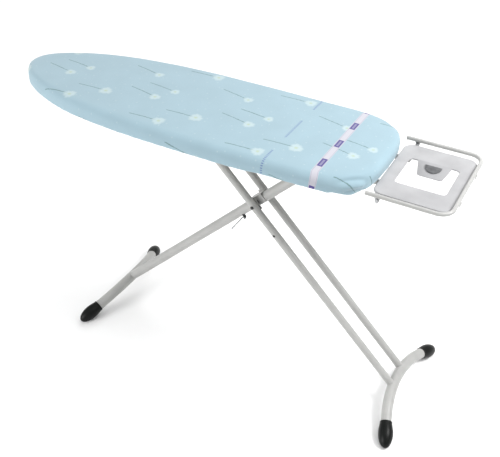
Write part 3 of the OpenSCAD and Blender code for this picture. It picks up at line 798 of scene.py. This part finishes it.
def smooth(start, end, value):
    """0 before the start, 1 after the end, and a soft step between them."""
    t = min(1.0, max(0.0, (value - start) / (end - start)))
    return t * t * (3 - 2 * t)


def fold_height(x, y):
    """Height of the corner folds at a place on the cloth laid flat."""
    total, overrun = 0.0, 0.3  # A fold fades out past both of its ends.
    for side, strength in ((1, 1.0), (-1, 0.45)):
        for (ax, ay), (bx, by), width, height in FOLDS:
            px, py = x - ax, y * side - ay
            dx, dy = bx - ax, by - ay
            size = math.hypot(dx, dy)
            along = (px * dx + py * dy) / size**2
            off = (px * dy - py * dx) / size
            if -overrun < along < 1 + overrun:
                fade = math.cos(math.pi * (along - 0.5) / (1 + 2 * overrun)) ** 2
                total += strength * height * fade * math.exp(-((off / width) ** 2))
    return total


# The heel corner: its place, and how far its slack cloth spreads each way.
CORNER_X, CORNER_Y, SPREAD_X, SPREAD_Y = 0.478, 0.182, 0.075, 0.060


def corner_share(x, y):
    """1 at the heel corners, where the cloth hangs slack, down to 0 elsewhere."""
    off = math.hypot((x - CORNER_X) / SPREAD_X, (abs(y) - CORNER_Y) / SPREAD_Y)
    return math.exp(-(off**2)) * (1.0 if y < 0 else 0.5)


# Rings of the shell: the flat top, the rolled shoulder, the side, the turn
# under the rim and the hem.
FLAT_RINGS, SHOULDER_RINGS, SIDE_RINGS, TURN_RINGS, HEM_RINGS = 32, 12, 4, 5, 6
INNER_INSET = 0.214  # From the outline to the innermost ring.


def quarter_roll(radius, top, steps, inset=0.0):
    """Rings down a quarter-round edge whose outside is at the inset."""
    levels = []
    for i in range(steps + 1):
        t = math.pi / 2 * i / steps
        levels.append((
            inset + radius * (1 - math.sin(t)), top - radius * (1 - math.cos(t))
        ))
    return levels


def cover_levels(sizes, low_z, top):
    """Inset and height of each ring, from the middle of the top to the hem."""
    roll, turn, crown_reach, hem_rise = sizes.roll, sizes.turn, 0.12, 0.0006
    levels = []
    for i in range(FLAT_RINGS):
        inset = INNER_INSET - (INNER_INSET - roll) * (i / FLAT_RINGS) ** 0.7
        share = min(1.0, (inset - roll) / crown_reach)
        levels.append((inset, top + sizes.crown * math.sin(share * math.pi / 2)))
    levels += quarter_roll(roll, top, SHOULDER_RINGS)
    side_top, side_low = top - roll, low_z + turn
    for i in range(1, SIDE_RINGS + 1):
        levels.append((0.0, side_top + (side_low - side_top) * i / SIDE_RINGS))
    for i in range(1, TURN_RINGS + 1):
        t = math.pi / 2 * i / TURN_RINGS
        levels.append((turn * (1 - math.cos(t)), side_low - turn * math.sin(t)))
    for i in range(1, HEM_RINGS + 1):
        inset = turn + (sizes.hem_reach - turn) * i / HEM_RINGS
        levels.append((inset, low_z + hem_rise * i))
    return levels


def padded_shell(name, levels, outline):
    """Rings of the outline joined into a shell, with the cloth laid flat as UV."""
    rings = [outline.ring(inset) for inset, _ in levels]
    count = len(rings[0])
    points, laid = [], []
    for k, ring in enumerate(rings):
        for i, (x, y) in enumerate(ring):
            points.append(Vector((x, y, levels[k][1])))
            if k <= FLAT_RINGS:
                laid.append(Vector((x, y)))
                continue
            edge = rings[FLAT_RINGS]
            before, after = edge[i - 1], edge[(i + 1) % count]
            out = Vector((before[1] - after[1], after[0] - before[0]))
            out.normalize()
            step = (points[-1] - points[-1 - count]).length
            laid.append(laid[-count] + out * step)
    faces = []
    for k in range(len(rings) - 1):
        for i in range(count):
            j = (i + 1) % count
            a, b = k * count, (k + 1) * count
            faces.append((a + i, a + j, b + j, b + i))
    for i in range(count // 2):
        corners = (i, i + 1, (count - i - 1) % count, (count - i) % count)
        faces.append(tuple(dict.fromkeys(corners)))
    mesh = bpy.data.meshes.new(name)
    mesh.from_pydata(points, [], faces)
    layer = mesh.uv_layers.new(name="laid flat")
    for loop in mesh.loops:
        layer.data[loop.index].uv = laid[loop.vertex_index]
    obj = bpy.data.objects.new(name, mesh)
    bpy.context.scene.collection.objects.link(obj)
    only(obj)
    enter("EDIT")
    select_whole()
    bpy.ops.mesh.normals_make_consistent(inside=False)
    enter("OBJECT")
    return obj, laid, count


class BOARD_OT_cover(bpy.types.Operator):
    """Makes the padded cover with its print, corner folds and gathered hem"""

    bl_idname = "board.cover"
    bl_label = "Padded cover"

    def execute(self, context):
        sizes = context.scene.board_cover
        low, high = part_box("cover")
        levels = cover_levels(sizes, low.z, high.z)
        obj, laid, count = padded_shell("cover_cloth", levels, Outline(sizes))
        self.hang(obj.data, count, sizes)
        self.settle(context, obj, count, sizes)
        # The folds come last, so that they stay as crisp as pressed cloth.
        self.fold(obj.data, laid, count, sizes)
        modify(obj, "SOLIDIFY", thickness=sizes.cloth, offset=-1)
        finish_piece(
            obj, "cover_cloth", "board", MATERIALS["cover_cloth"],
            ("cover", "hem_elastic"), smooth=180,
        )
        return {"FINISHED"}

    def hang(self, mesh, count, sizes):
        """Swells the long sides and lets the skirt hang towards the nose."""
        for v in mesh.vertices:
            ring, x = v.index // count, v.co.x
            side = smooth(-0.68, -0.45, x) * smooth(0.25, 0.05, x)
            near_edge = min(1.0, (ring / FLAT_RINGS) ** 3)
            v.co.y += math.copysign(sizes.swell * side * near_edge, v.co.y)
            droop = smooth(0.26, 0.10, x) * (0.5 + 0.5 * smooth(-0.2, -0.55, x))
            below = smooth(FLAT_RINGS + 6, FLAT_RINGS + 16, ring)
            v.co.z -= sizes.sag * droop * below

    def fold(self, mesh, laid, count, sizes):
        """Moves the cloth off its smooth shape: folds, slack and gathers."""
        normals = [v.normal.copy() for v in mesh.vertices]
        rings = len(normals) // count
        first_side = FLAT_RINGS + SHOULDER_RINGS - 3
        for v, normal in zip(mesh.vertices, normals):
            ring = v.index // count
            x, y = laid[v.index]
            lift = fold_height(x, y) + 0.0006 * noise.noise(Vector((x, y, 0.1)) * 9)
            down = min(1.0, max(0.0, (ring - FLAT_RINGS) / SHOULDER_RINGS))
            share = corner_share(v.co.x, v.co.y) * down
            lift += sizes.slack * share
            v.co.z -= sizes.corner_sag * share
            if ring > first_side:
                low = (ring - first_side) / (rings - first_side)
                run = (v.index % count) / count
                fine = noise.noise(Vector((run * 160, low * 1.4, 5.1)))
                broad = noise.noise(Vector((run * 37, low * 0.6, 8.7)))
                lift += low * (sizes.gather * (fine + broad) - 0.0008)
            v.co += normal * lift

    def settle(self, context, obj, count, sizes):
        """Runs the cloth for a moment, so that the padding swells it."""
        start = [v.co.copy() for v in obj.data.vertices]
        pin = obj.vertex_groups.new(name="held hem")
        held = range(len(start) - (HEM_RINGS - 1) * count, len(start))
        pin.add(held, 1.0, "REPLACE")
        cloth = obj.modifiers.new("Cloth", "CLOTH")
        settings = cloth.settings
        settings.quality = 4
        settings.mass = 0.25
        settings.tension_stiffness = 20
        settings.compression_stiffness = 12
        settings.shear_stiffness = 6
        settings.bending_stiffness = 0.4
        settings.use_pressure = True
        settings.uniform_pressure_force = 0.3
        settings.vertex_group_mass = "held hem"
        settings.effector_weights.gravity = 0
        cloth.collision_settings.use_collision = False
        cloth.point_cache.frame_start = 1
        cloth.point_cache.frame_end = 14
        for step in range(1, 13):
            context.scene.frame_set(step)
        only(obj)
        bpy.ops.object.modifier_apply(modifier=cloth.name)
        obj.vertex_groups.clear()
        # No point moves further than the padding can swell.
        for v, was in zip(obj.data.vertices, start):
            shift = v.co - was
            if shift.length > sizes.puff:
                v.co = was + shift * (sizes.puff / shift.length)
        context.scene.frame_set(1)


class BOARD_OT_felt(bpy.types.Operator):
    """Makes the felt pad that fills the cover and rolls over the deck's edge"""

    bl_idname = "board.felt"
    bl_label = "Felt pad"

    gap: length("Gap", 0.0032, "Distance in from the outside of the cover")
    thickness: length("Thickness", 0.0045, "Thickness of the felt")

    def execute(self, context):
        sizes = context.scene.board_cover
        low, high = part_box("foam_pad")
        # The felt lies just inside the cloth, so its roll is tighter and lower.
        roll, top, side_rings = sizes.roll - 0.001, high.z - 0.0015, 3
        levels = []
        for i in range(FLAT_RINGS):
            inset = INNER_INSET - (INNER_INSET - self.gap - roll) * i / FLAT_RINGS
            levels.append((inset, top))
        levels += quarter_roll(roll, top, SHOULDER_RINGS // 2, self.gap)
        for i in range(1, side_rings + 1):
            drop = (low.z - top + roll) * i / side_rings
            levels.append((self.gap, top - roll + drop))
        obj, laid, _ = padded_shell("felt_pad", levels, Outline(sizes))
        normals = [v.normal.copy() for v in obj.data.vertices]
        for v, normal in zip(obj.data.vertices, normals):
            x, y = laid[v.index]
            # The felt gives way under a valley of the cloth.
            v.co += normal * (1.2 * min(0.0, fold_height(x, y)))
            v.co.z -= 0.0004 * (1 + noise.noise(Vector((x, y, 0.5)) * 24))
        modify(obj, "SOLIDIFY", thickness=self.thickness, offset=-1)
        finish_piece(
            obj, "felt_pad", "board", MATERIALS["foam"], ("foam_pad",),
            smooth=60,
        )
        return {"FINISHED"}


# ---- The iron rest ----------------------------------------------------------


# The tray's window: its two ends, from the tray's outer end, and half its width.
WINDOW_START, WINDOW_END, WINDOW_HALF = 0.182, 0.034, 0.073
# How far the flap reaches into the window, and how far its free edge drops.
FLAP_REACH, FLAP_DROP = 0.049, 0.020


class BOARD_OT_rest_tray(bpy.types.Operator):
    """Makes the stamped tray of the iron rest with its window and bent flap"""

    bl_idname = "board.rest_tray"
    bl_label = "Rest tray"

    sheet: length("Sheet", 0.0012, "Thickness of the tray's sheet")
    corner: length("Corner", 0.030, "Corner radius of the tray")
    window_corner: length("Window corner", 0.013, "Corner radius of the window")
    edge: length("Edge", 0.0066, "Depth of the turned-down edge")

    def execute(self, context):
        low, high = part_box("rest_tray")
        window_low = (high.x - WINDOW_START, -WINDOW_HALF)
        window_high = (high.x - WINDOW_END, WINDOW_HALF)
        top = high.z
        outer = rounded_sheet(low, high, top, self.corner)
        enter("OBJECT")
        inner = rounded_sheet(window_low, window_high, top, self.window_corner)
        enter("OBJECT")
        tray = join([outer, inner])
        enter("EDIT")
        select_whole("FACE")
        bpy.ops.mesh.delete(type="ONLY_FACE")
        select_whole("EDGE")
        bpy.ops.mesh.bridge_edge_loops()

        def on_outside(item):
            x, y = item.verts[0].co.x, item.verts[0].co.y
            out_x = x < window_low[0] - 0.005 or x > window_high[0] + 0.005
            return item.is_boundary and (out_x or abs(y) > 0.08)

        middle = Vector(((low.x + high.x) / 2, 0, top))
        half = Vector(((high.x - low.x) / 2, (high.y - low.y) / 2, 0))
        self.roll_edge(on_outside, middle, half, -0.0038, (
            (0.0020, 0.0), (0.0011, 0.0003), (0.0007, 0.0010), (0.0, 0.0053),
        ))

        def on_window(item):
            a, b = (v.co for v in item.verts)
            near_top = a.z > top - 0.0001 and b.z > top - 0.0001
            inside_x = window_low[0] - 0.001 < a.x < window_high[0] + 0.001
            return (
                item.is_boundary and near_top and inside_x
                and abs(a.y) < WINDOW_HALF + 0.0005
            )

        window_middle = Vector(((window_low[0] + window_high[0]) / 2, 0, top))
        window_half = Vector(((WINDOW_START - WINDOW_END) / 2, WINDOW_HALF, 0))
        self.roll_edge(on_window, window_middle, window_half, 0.0032, (
            (-0.0020, 0.0), (-0.0005, 0.0002), (-0.0006, 0.0008), (-0.0001, 0.0026),
        ))
        tidy_normals()
        self.face_up(tray)
        enter("OBJECT")
        modify(tray, "SOLIDIFY", thickness=self.sheet, offset=-1)

        flap = self.flap(window_middle, top)
        tray = join([tray, flap])
        finish_piece(
            tray, "tray_sheet", "board", MATERIALS["tray_steel"],
            ("rest_tray",), smooth=45,
        )
        return {"FINISHED"}

    def roll_edge(self, test, middle, half, margin, steps):
        """Draws the edge back by the margin, then extrudes it out and down."""
        pick("edges", test)
        self.scale_about(middle, half, margin)
        for out, down in steps:
            bpy.ops.mesh.extrude_edges_move()
            self.scale_about(middle, half, out)
            bpy.ops.transform.translate(value=(0, 0, -down))

    def scale_about(self, middle, half, grow):
        """Grows the selection by the same amount along X and Y."""
        bpy.ops.transform.resize(
            value=(1 + grow / half.x, 1 + grow / half.y, 1),
            center_override=middle,
        )

    def face_up(self, obj):
        """Turns the sheet's faces so that its top looks up."""
        shape = bmesh.from_edit_mesh(obj.data)
        up = sum(f.normal.z * f.calc_area() for f in shape.faces)
        if up < 0:
            select_whole()
            bpy.ops.mesh.flip_normals()

    def flap(self, window_middle, top):
        """The bent flap that hangs from the window's far edge."""
        root, tip, reach, drop = 0.102, 0.073, FLAP_REACH, FLAP_DROP
        y = WINDOW_HALF + 0.0005
        bottom = top - self.sheet
        plate = slab(
            (window_middle.x - root / 2, y - reach, bottom - 0.0001),
            (window_middle.x + root / 2, y, bottom + 0.0011),
        )
        enter("EDIT")
        pick("verts", lambda v: v.co.y < y - reach / 2)
        bpy.ops.transform.resize(
            value=(tip / root, 1, 1), center_override=(window_middle.x, y, top)
        )
        bpy.ops.transform.translate(value=(0, 0, -drop))
        # Round the two free corners.
        pick(
            "edges",
            lambda e: all(v.co.y < y - reach / 2 for v in e.verts)
            and abs(e.verts[0].co.z - e.verts[1].co.z) > 0.0005,
        )
        bpy.ops.mesh.bevel(offset=0.006, segments=5, affect="EDGES")
        enter("OBJECT")
        bevel(plate, 0.0003, 2)
        return plate


class BOARD_OT_heel_pad(bpy.types.Operator):
    """Makes the half-round ribbed pad on the flap of the tray"""

    bl_idname = "board.heel_pad"
    bl_label = "Heel pad"

    radius: length("Radius", 0.0248, "Radius of the pad")
    thickness: length("Thickness", 0.0026, "Thickness of the pad")

    def execute(self, context):
        low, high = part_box("rest_heel_pad")
        slope = math.atan2(FLAP_DROP, FLAP_REACH)
        first, pitch, groove, depth = 0.004, 0.0035, 0.0006, 0.0009
        top, rim = self.thickness, self.radius
        ribs = [(0.0, 0.0), (0.0, top)]
        for i in range(6):
            r = first + i * pitch
            ribs += [(r - groove, top), (r, top - depth), (r + groove, top)]
        ribs += [
            (rim - 0.0008, top), (rim - 0.0002, top - 0.0003), (rim, top - depth),
            (rim, 0.0), (0.0, 0.0),
        ]
        # The flat side of the half disc is at the root of the flap.
        root = Vector((
            (low.x + high.x) / 2,
            high.y - math.sin(slope) * self.thickness,
            high.z - math.cos(slope) * self.thickness,
        ))
        normal = Vector((0, -math.sin(slope), math.cos(slope)))
        pad = lathe(
            ribs, root, normal, steps=40, angle=math.pi, start=(1, 0, 0)
        )
        enter("EDIT")
        pick("edges", lambda e: e.is_boundary)
        bpy.ops.mesh.edge_face_add()
        tidy_normals()
        enter("OBJECT")
        finish_piece(
            pad, "heel_pad", "board", MATERIALS["grey_plastic"],
            ("rest_heel_pad",), smooth=50,
        )
        return {"FINISHED"}


class BOARD_OT_rest_trim(bpy.types.Operator):
    """Makes the domed plugs in the rest tube and the lugs that hold its rod"""

    bl_idname = "board.rest_trim"
    bl_label = "Rest plugs and lugs"

    def execute(self, context):
        low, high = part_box("rest_end_plugs")
        z = (low.z + high.z) / 2
        plugs = []
        for y in (low.y + 0.006, high.y - 0.006):
            profile = [
                (0.0, -0.0008), (0.003, -0.0007), (0.0048, -0.0002),
                (0.0057, 0.0007), (0.0059, 0.0015), (0.0049, 0.0015),
                (0.0049, 0.0070), (0.0, 0.0070),
            ]
            plugs.append(lathe(profile, (low.x + 0.0008, y, z), (1, 0, 0), 32))
        finish_piece(
            join(plugs), "rest_plugs", "board", MATERIALS["grey_plastic"],
            ("rest_end_plugs",),
        )
        low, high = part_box("rest_lugs")
        middle_x = (low.x + high.x) / 2
        lugs = []
        for y in (low.y + 0.0015, high.y - 0.0015):
            lug = slab(
                (low.x, y - 0.0015, low.z + 0.001), (high.x, y + 0.0015, high.z)
            )
            enter("EDIT")
            pick("verts", lambda v: v.co.z < low.z + 0.002)
            bpy.ops.transform.resize(
                value=(0.42, 1, 1), center_override=(middle_x, y, low.z)
            )
            pick(
                "edges",
                lambda e: all(v.co.z < low.z + 0.002 for v in e.verts)
                and abs(e.verts[0].co.y - e.verts[1].co.y) > 0.001,
            )
            bpy.ops.mesh.bevel(offset=0.0028, segments=5, affect="EDGES")
            enter("OBJECT")
            bevel(lug, 0.0004, 2)
            lugs.append(lug)
        finish_piece(
            join(lugs), "rod_lugs", "board", MATERIALS["light_plastic"],
            ("rest_lugs",),
        )
        return {"FINISHED"}


# ---- Feet -------------------------------------------------------------------


def foot_end(leg, side, sizes):
    """Where a cap starts, and the direction that it points."""
    lean, turn = sizes.leg_angle, sizes.bend_angle
    reach = -1 if leg == "main" else 1
    down = Vector((reach * math.cos(lean), 0, -math.sin(lean)))
    along = sizes.lower_arm + sizes.bend_radius * (1 - math.cos(turn))
    place = CROSSING + down * along
    place.y += side * sizes.bend_radius * math.sin(turn)
    axis = down * math.sin(turn)
    axis.y = side * math.cos(turn)
    return place, axis.normalized()


class BOARD_OT_foot_caps(bpy.types.Operator):
    """Makes the four rubber caps, each lipped and flattened where it stands"""

    bl_idname = "board.foot_caps"
    bl_label = "Rubber foot caps"

    def execute(self, context):
        sizes = context.scene.board_foot
        tube, widest = sizes.tube, sizes.cap
        # Radius, and distance from the open end: first the rolled lip.
        profile = [
            (tube - 0.0002, 0.0100), (tube - 0.0002, 0.0003),
            (tube + 0.0008, -0.0002), (tube + 0.0018, 0.0002),
            (tube + 0.0024, 0.0012), (tube + 0.0025, 0.0032),
            (tube + 0.0020, 0.0046), (tube + 0.0019, 0.0056),
        ]
        # Then the swelling side, and the rounded nose down to its tip.
        start_r, start_t, side_steps, nose_steps = tube + 0.0022, 0.0066, 8, 16
        for i in range(side_steps + 1):
            t = i / side_steps
            profile.append((
                start_r + (widest - start_r) * math.sin(math.pi / 2 * t),
                start_t + (sizes.seat - start_t) * t,
            ))
        for i in range(1, nose_steps):
            t = math.pi / 2 * i / nose_steps
            profile.append((
                widest * math.cos(t), sizes.seat + sizes.nose * math.sin(t)
            ))
        profile.append((0.0, sizes.seat + sizes.nose))
        for leg, body in (("main", "main_leg"), ("slim", "slim_legs")):
            for side, word in ((NEAR, "near"), (FAR, "far")):
                place, axis = foot_end(leg, side, sizes)
                cap = lathe(profile, place, axis, 56)
                enter("EDIT")
                select_whole()
                bpy.ops.mesh.bisect(
                    plane_co=(0, 0, 0.0002), plane_no=(0, 0, 1),
                    use_fill=True, clear_inner=True,
                )
                enter("OBJECT")
                node = f"{leg}_cap_{word}"
                finish_piece(
                    cap, f"rubber_{node}", body, MATERIALS["black_rubber"],
                    (node,), smooth=35,
                )
        return {"FINISHED"}


# ---- Leg crossing and small trim --------------------------------------------


class BOARD_OT_trim(bpy.types.Operator):
    """Makes the domed axle caps, the hole plugs and the turned spacers"""

    bl_idname = "board.trim"
    bl_label = "Caps, plugs and spacers"

    def execute(self, context):
        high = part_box("axle_caps")[1]
        height = 0.0035
        caps = self.pair(CROSSING.x, high.y - height, CROSSING.z, 36, [
            (0.0, height), (0.0025, 0.0033), (0.0045, 0.0026),
            (0.0056, 0.0015), (0.0059, 0.0004), (0.0059, 0.0), (0.0, 0.0),
        ])
        self.finish(caps, "axle_end_caps", "axle_caps")

        low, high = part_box("hole_plugs")
        middle = (low + high) / 2
        plugs = self.pair(middle.x, high.y - 0.002, middle.z, 32, [
            (0.0, 0.0018), (0.0024, 0.0016), (0.0037, 0.0009), (0.0041, 0.0002),
            (0.0030, 0.0), (0.0029, -0.0028), (0.0, -0.0028),
        ])
        self.finish(plugs, "leg_hole_plugs", "hole_plugs")

        # Each spacer is waisted: a rim at either end and a thinner middle.
        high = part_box("pivot_spacers")[1]
        node = frame["nodes"]["pivot_spacers"].data
        inner = min(abs(v.co.y) for v in node.vertices)
        width, bore, rim, waist = high.y - inner, 0.0041, 0.0075, 0.0069
        spacers = self.pair(CROSSING.x, inner, CROSSING.z, 40, [
            (bore, 0.0), (0.0068, 0.0), (rim, 0.0008), (rim, width * 0.3),
            (waist, width * 0.4), (waist, width * 0.6), (rim, width * 0.7),
            (rim, width - 0.0008), (0.0068, width), (bore, width), (bore, 0.0),
        ])
        self.finish(spacers, "turned_spacers", "pivot_spacers")
        return {"FINISHED"}

    def pair(self, x, y, z, steps, profile):
        """The same turned shape on the near and on the far side."""
        return join([
            lathe(profile, (x, side * y, z), (0, side, 0), steps)
            for side in (NEAR, FAR)
        ])

    def finish(self, obj, name, node):
        plastic = MATERIALS["black_plastic"]
        finish_piece(obj, name, "slim_legs", plastic, (node,))


class BOARD_OT_lever_grip(bpy.types.Operator):
    """Makes the moulded grip of the height lever with its finger grooves"""

    bl_idname = "board.lever_grip"
    bl_label = "Height lever grip"

    def execute(self, context):
        low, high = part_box("lever_grip")
        grip = slab(low, high)
        enter("EDIT")
        # Rings along the grip, every other one drawn in as a groove.
        span = high.x - low.x
        cuts = [0.2 + 0.05 * i for i in range(13)]
        for cut in cuts:
            select_whole()
            bpy.ops.mesh.bisect(
                plane_co=(low.x + span * cut, 0, 0), plane_no=(1, 0, 0)
            )
        middle = (low + high) / 2
        for i, cut in enumerate(cuts):
            if i % 2:
                pick(
                    "verts",
                    lambda v: abs(v.co.x - low.x - span * cut) < span * 0.01,
                )
                bpy.ops.transform.resize(
                    value=(1, 0.86, 0.88), center_override=middle
                )
        enter("OBJECT")
        bevel(grip, 0.0030, 4, 60)
        finish_piece(
            grip, "lever_handle", "release_lever", MATERIALS["black_plastic"],
            ("lever_grip",), smooth=60,
        )
        return {"FINISHED"}


class BOARD_OT_frame_finishes(bpy.types.Operator):
    """Gives each CAD piece that stays in view the finish of its real material"""

    bl_idname = "board.frame_finishes"
    bl_label = "Finishes of the frame"

    def execute(self, context):
        slots = {
            part["node"]: part["material_slot"]
            for part in frame["record"]["subparts"]
        }
        for name, obj in frame["nodes"].items():
            material = MATERIALS[slots[name]]
            if name == "deck_mesh":
                material = MATERIALS["deck"]
            obj.data.materials.clear()
            obj.data.materials.append(material)
        return {"FINISHED"}


# ---- Stage ------------------------------------------------------------------


class BOARD_OT_stage(bpy.types.Operator):
    """Makes the pale floor, the soft studio lights and the camera"""

    bl_idname = "board.stage"
    bl_label = "Stage"

    lens: FloatProperty(name="Lens", description="Focal length", default=56.536)
    camera_place: FloatVectorProperty(
        name="Camera", description="Place of the camera",
        default=(1.04296, -1.8936, 2.0286), subtype="TRANSLATION",
    )
    yaw: FloatProperty(
        name="Yaw", description="Turn to the left of the +Y direction",
        default=0.4701, subtype="ANGLE",
    )
    pitch: FloatProperty(
        name="Pitch", description="Look down", default=0.63, subtype="ANGLE"
    )
    roll: FloatProperty(
        name="Roll", description="Lean of the camera", default=0.0311,
        subtype="ANGLE",
    )

    def execute(self, context):
        deselect()
        bpy.ops.mesh.primitive_plane_add(size=30, location=(0, 0, 0))
        floor = context.object
        bpy.ops.object.transform_apply(location=True, rotation=True, scale=True)
        floor.name = "floor"
        material, tree, shader, place = new_material("matt painted studio floor")
        cloud = add(tree, "TexNoise", {"Vector": place, "Scale": 1 / 400})
        tint = add(
            tree, "Mix", {0: cloud, 6: srgb("#FCFCFC"), 7: srgb("#F9F9F9")}, 2,
            data_type="RGBA",
        )
        fill(shader, {"Base Color": tint, "Roughness": 0.9})
        floor.data.materials.append(material)

        world = bpy.data.worlds.new("studio")
        context.scene.world = world
        world.use_nodes = True
        fill(world.node_tree.nodes["Background"], {
            "Color": srgb("#FFFFFF"), "Strength": 0.55,
        })
        context.scene.view_settings.view_transform = "Standard"
        self.light("overhead", (0.8, 0.6, 4.2), (0.6, 0.2, 0), 4.5, 60)
        self.light("key", (2.1, 0.4, 2.5), (0.3, 0, 0.85), 1.1, 66)
        self.light("front", (-2.1, -3.2, 1.5), (-0.1, 0, 0.45), 2.0, 94)
        self.light("sweep", (-1.6, 4.6, 3.4), (-1.6, 5.0, 0), 4.5, 130)
        self.camera(context)
        return {"FINISHED"}

    def light(self, name, place, target, size, power):
        lamp = bpy.data.lights.new(name, "AREA")
        lamp.shape, lamp.size, lamp.energy = "DISK", size, power
        obj = bpy.data.objects.new(name, lamp)
        bpy.context.scene.collection.objects.link(obj)
        obj.location = place
        aim = Vector(target) - Vector(place)
        obj.rotation_euler = aim.to_track_quat("-Z", "Y").to_euler()

    def camera(self, context):
        flat = Vector((-math.sin(self.yaw), math.cos(self.yaw), 0))
        right = Vector((math.cos(self.yaw), math.sin(self.yaw), 0))
        ahead = flat * math.cos(self.pitch) - Vector((0, 0, math.sin(self.pitch)))
        up = right.cross(ahead)
        turn = self.roll
        right, up = (
            right * math.cos(turn) + up * math.sin(turn),
            up * math.cos(turn) - right * math.sin(turn),
        )
        data = bpy.data.cameras.new("camera")
        data.lens, data.sensor_width = self.lens, 36.0
        data.clip_end = 50
        camera = bpy.data.objects.new("camera", data)
        context.scene.collection.objects.link(camera)
        place = Matrix.Identity(4)
        for row in range(3):
            place[row][0], place[row][1] = right[row], up[row]
            place[row][2] = -ahead[row]
            place[row][3] = self.camera_place[row]
        camera.matrix_world = place
        context.scene.camera = camera


# ---- Panel, registration and the run ----------------------------------------

OPERATORS = (
    BOARD_OT_frame_finishes,
    BOARD_OT_felt,
    BOARD_OT_cover,
    BOARD_OT_rest_tray,
    BOARD_OT_heel_pad,
    BOARD_OT_rest_trim,
    BOARD_OT_foot_caps,
    BOARD_OT_trim,
    BOARD_OT_lever_grip,
    BOARD_OT_stage,
)


class BOARD_PT_panel(bpy.types.Panel):
    """Lists the sizes and the pieces of the ironing board"""

    bl_idname = "BOARD_PT_panel"
    bl_label = "Ironing board"
    bl_space_type = "VIEW_3D"
    bl_region_type = "UI"
    bl_category = "Ironing board"

    def draw(self, context):
        for name, group in GROUPS.items():
            box = self.layout.box()
            for key in group.__annotations__:
                box.prop(getattr(context.scene, name), key)
        for operator in OPERATORS:
            self.layout.operator(operator.bl_idname)


CLASSES = (*GROUPS.values(), *OPERATORS, BOARD_PT_panel)


def register():
    for item in CLASSES:
        bpy.utils.register_class(item)
    for name, group in GROUPS.items():
        setattr(bpy.types.Scene, name, PointerProperty(type=group))


def unregister():
    for name in GROUPS:
        delattr(bpy.types.Scene, name)
    for item in reversed(CLASSES):
        bpy.utils.unregister_class(item)


def main():
    register()
    make_materials()
    for operator in OPERATORS:
        group, name = operator.bl_idname.split(".")
        getattr(getattr(bpy.ops, group), name)()


if __name__ == "__main__":
    main()
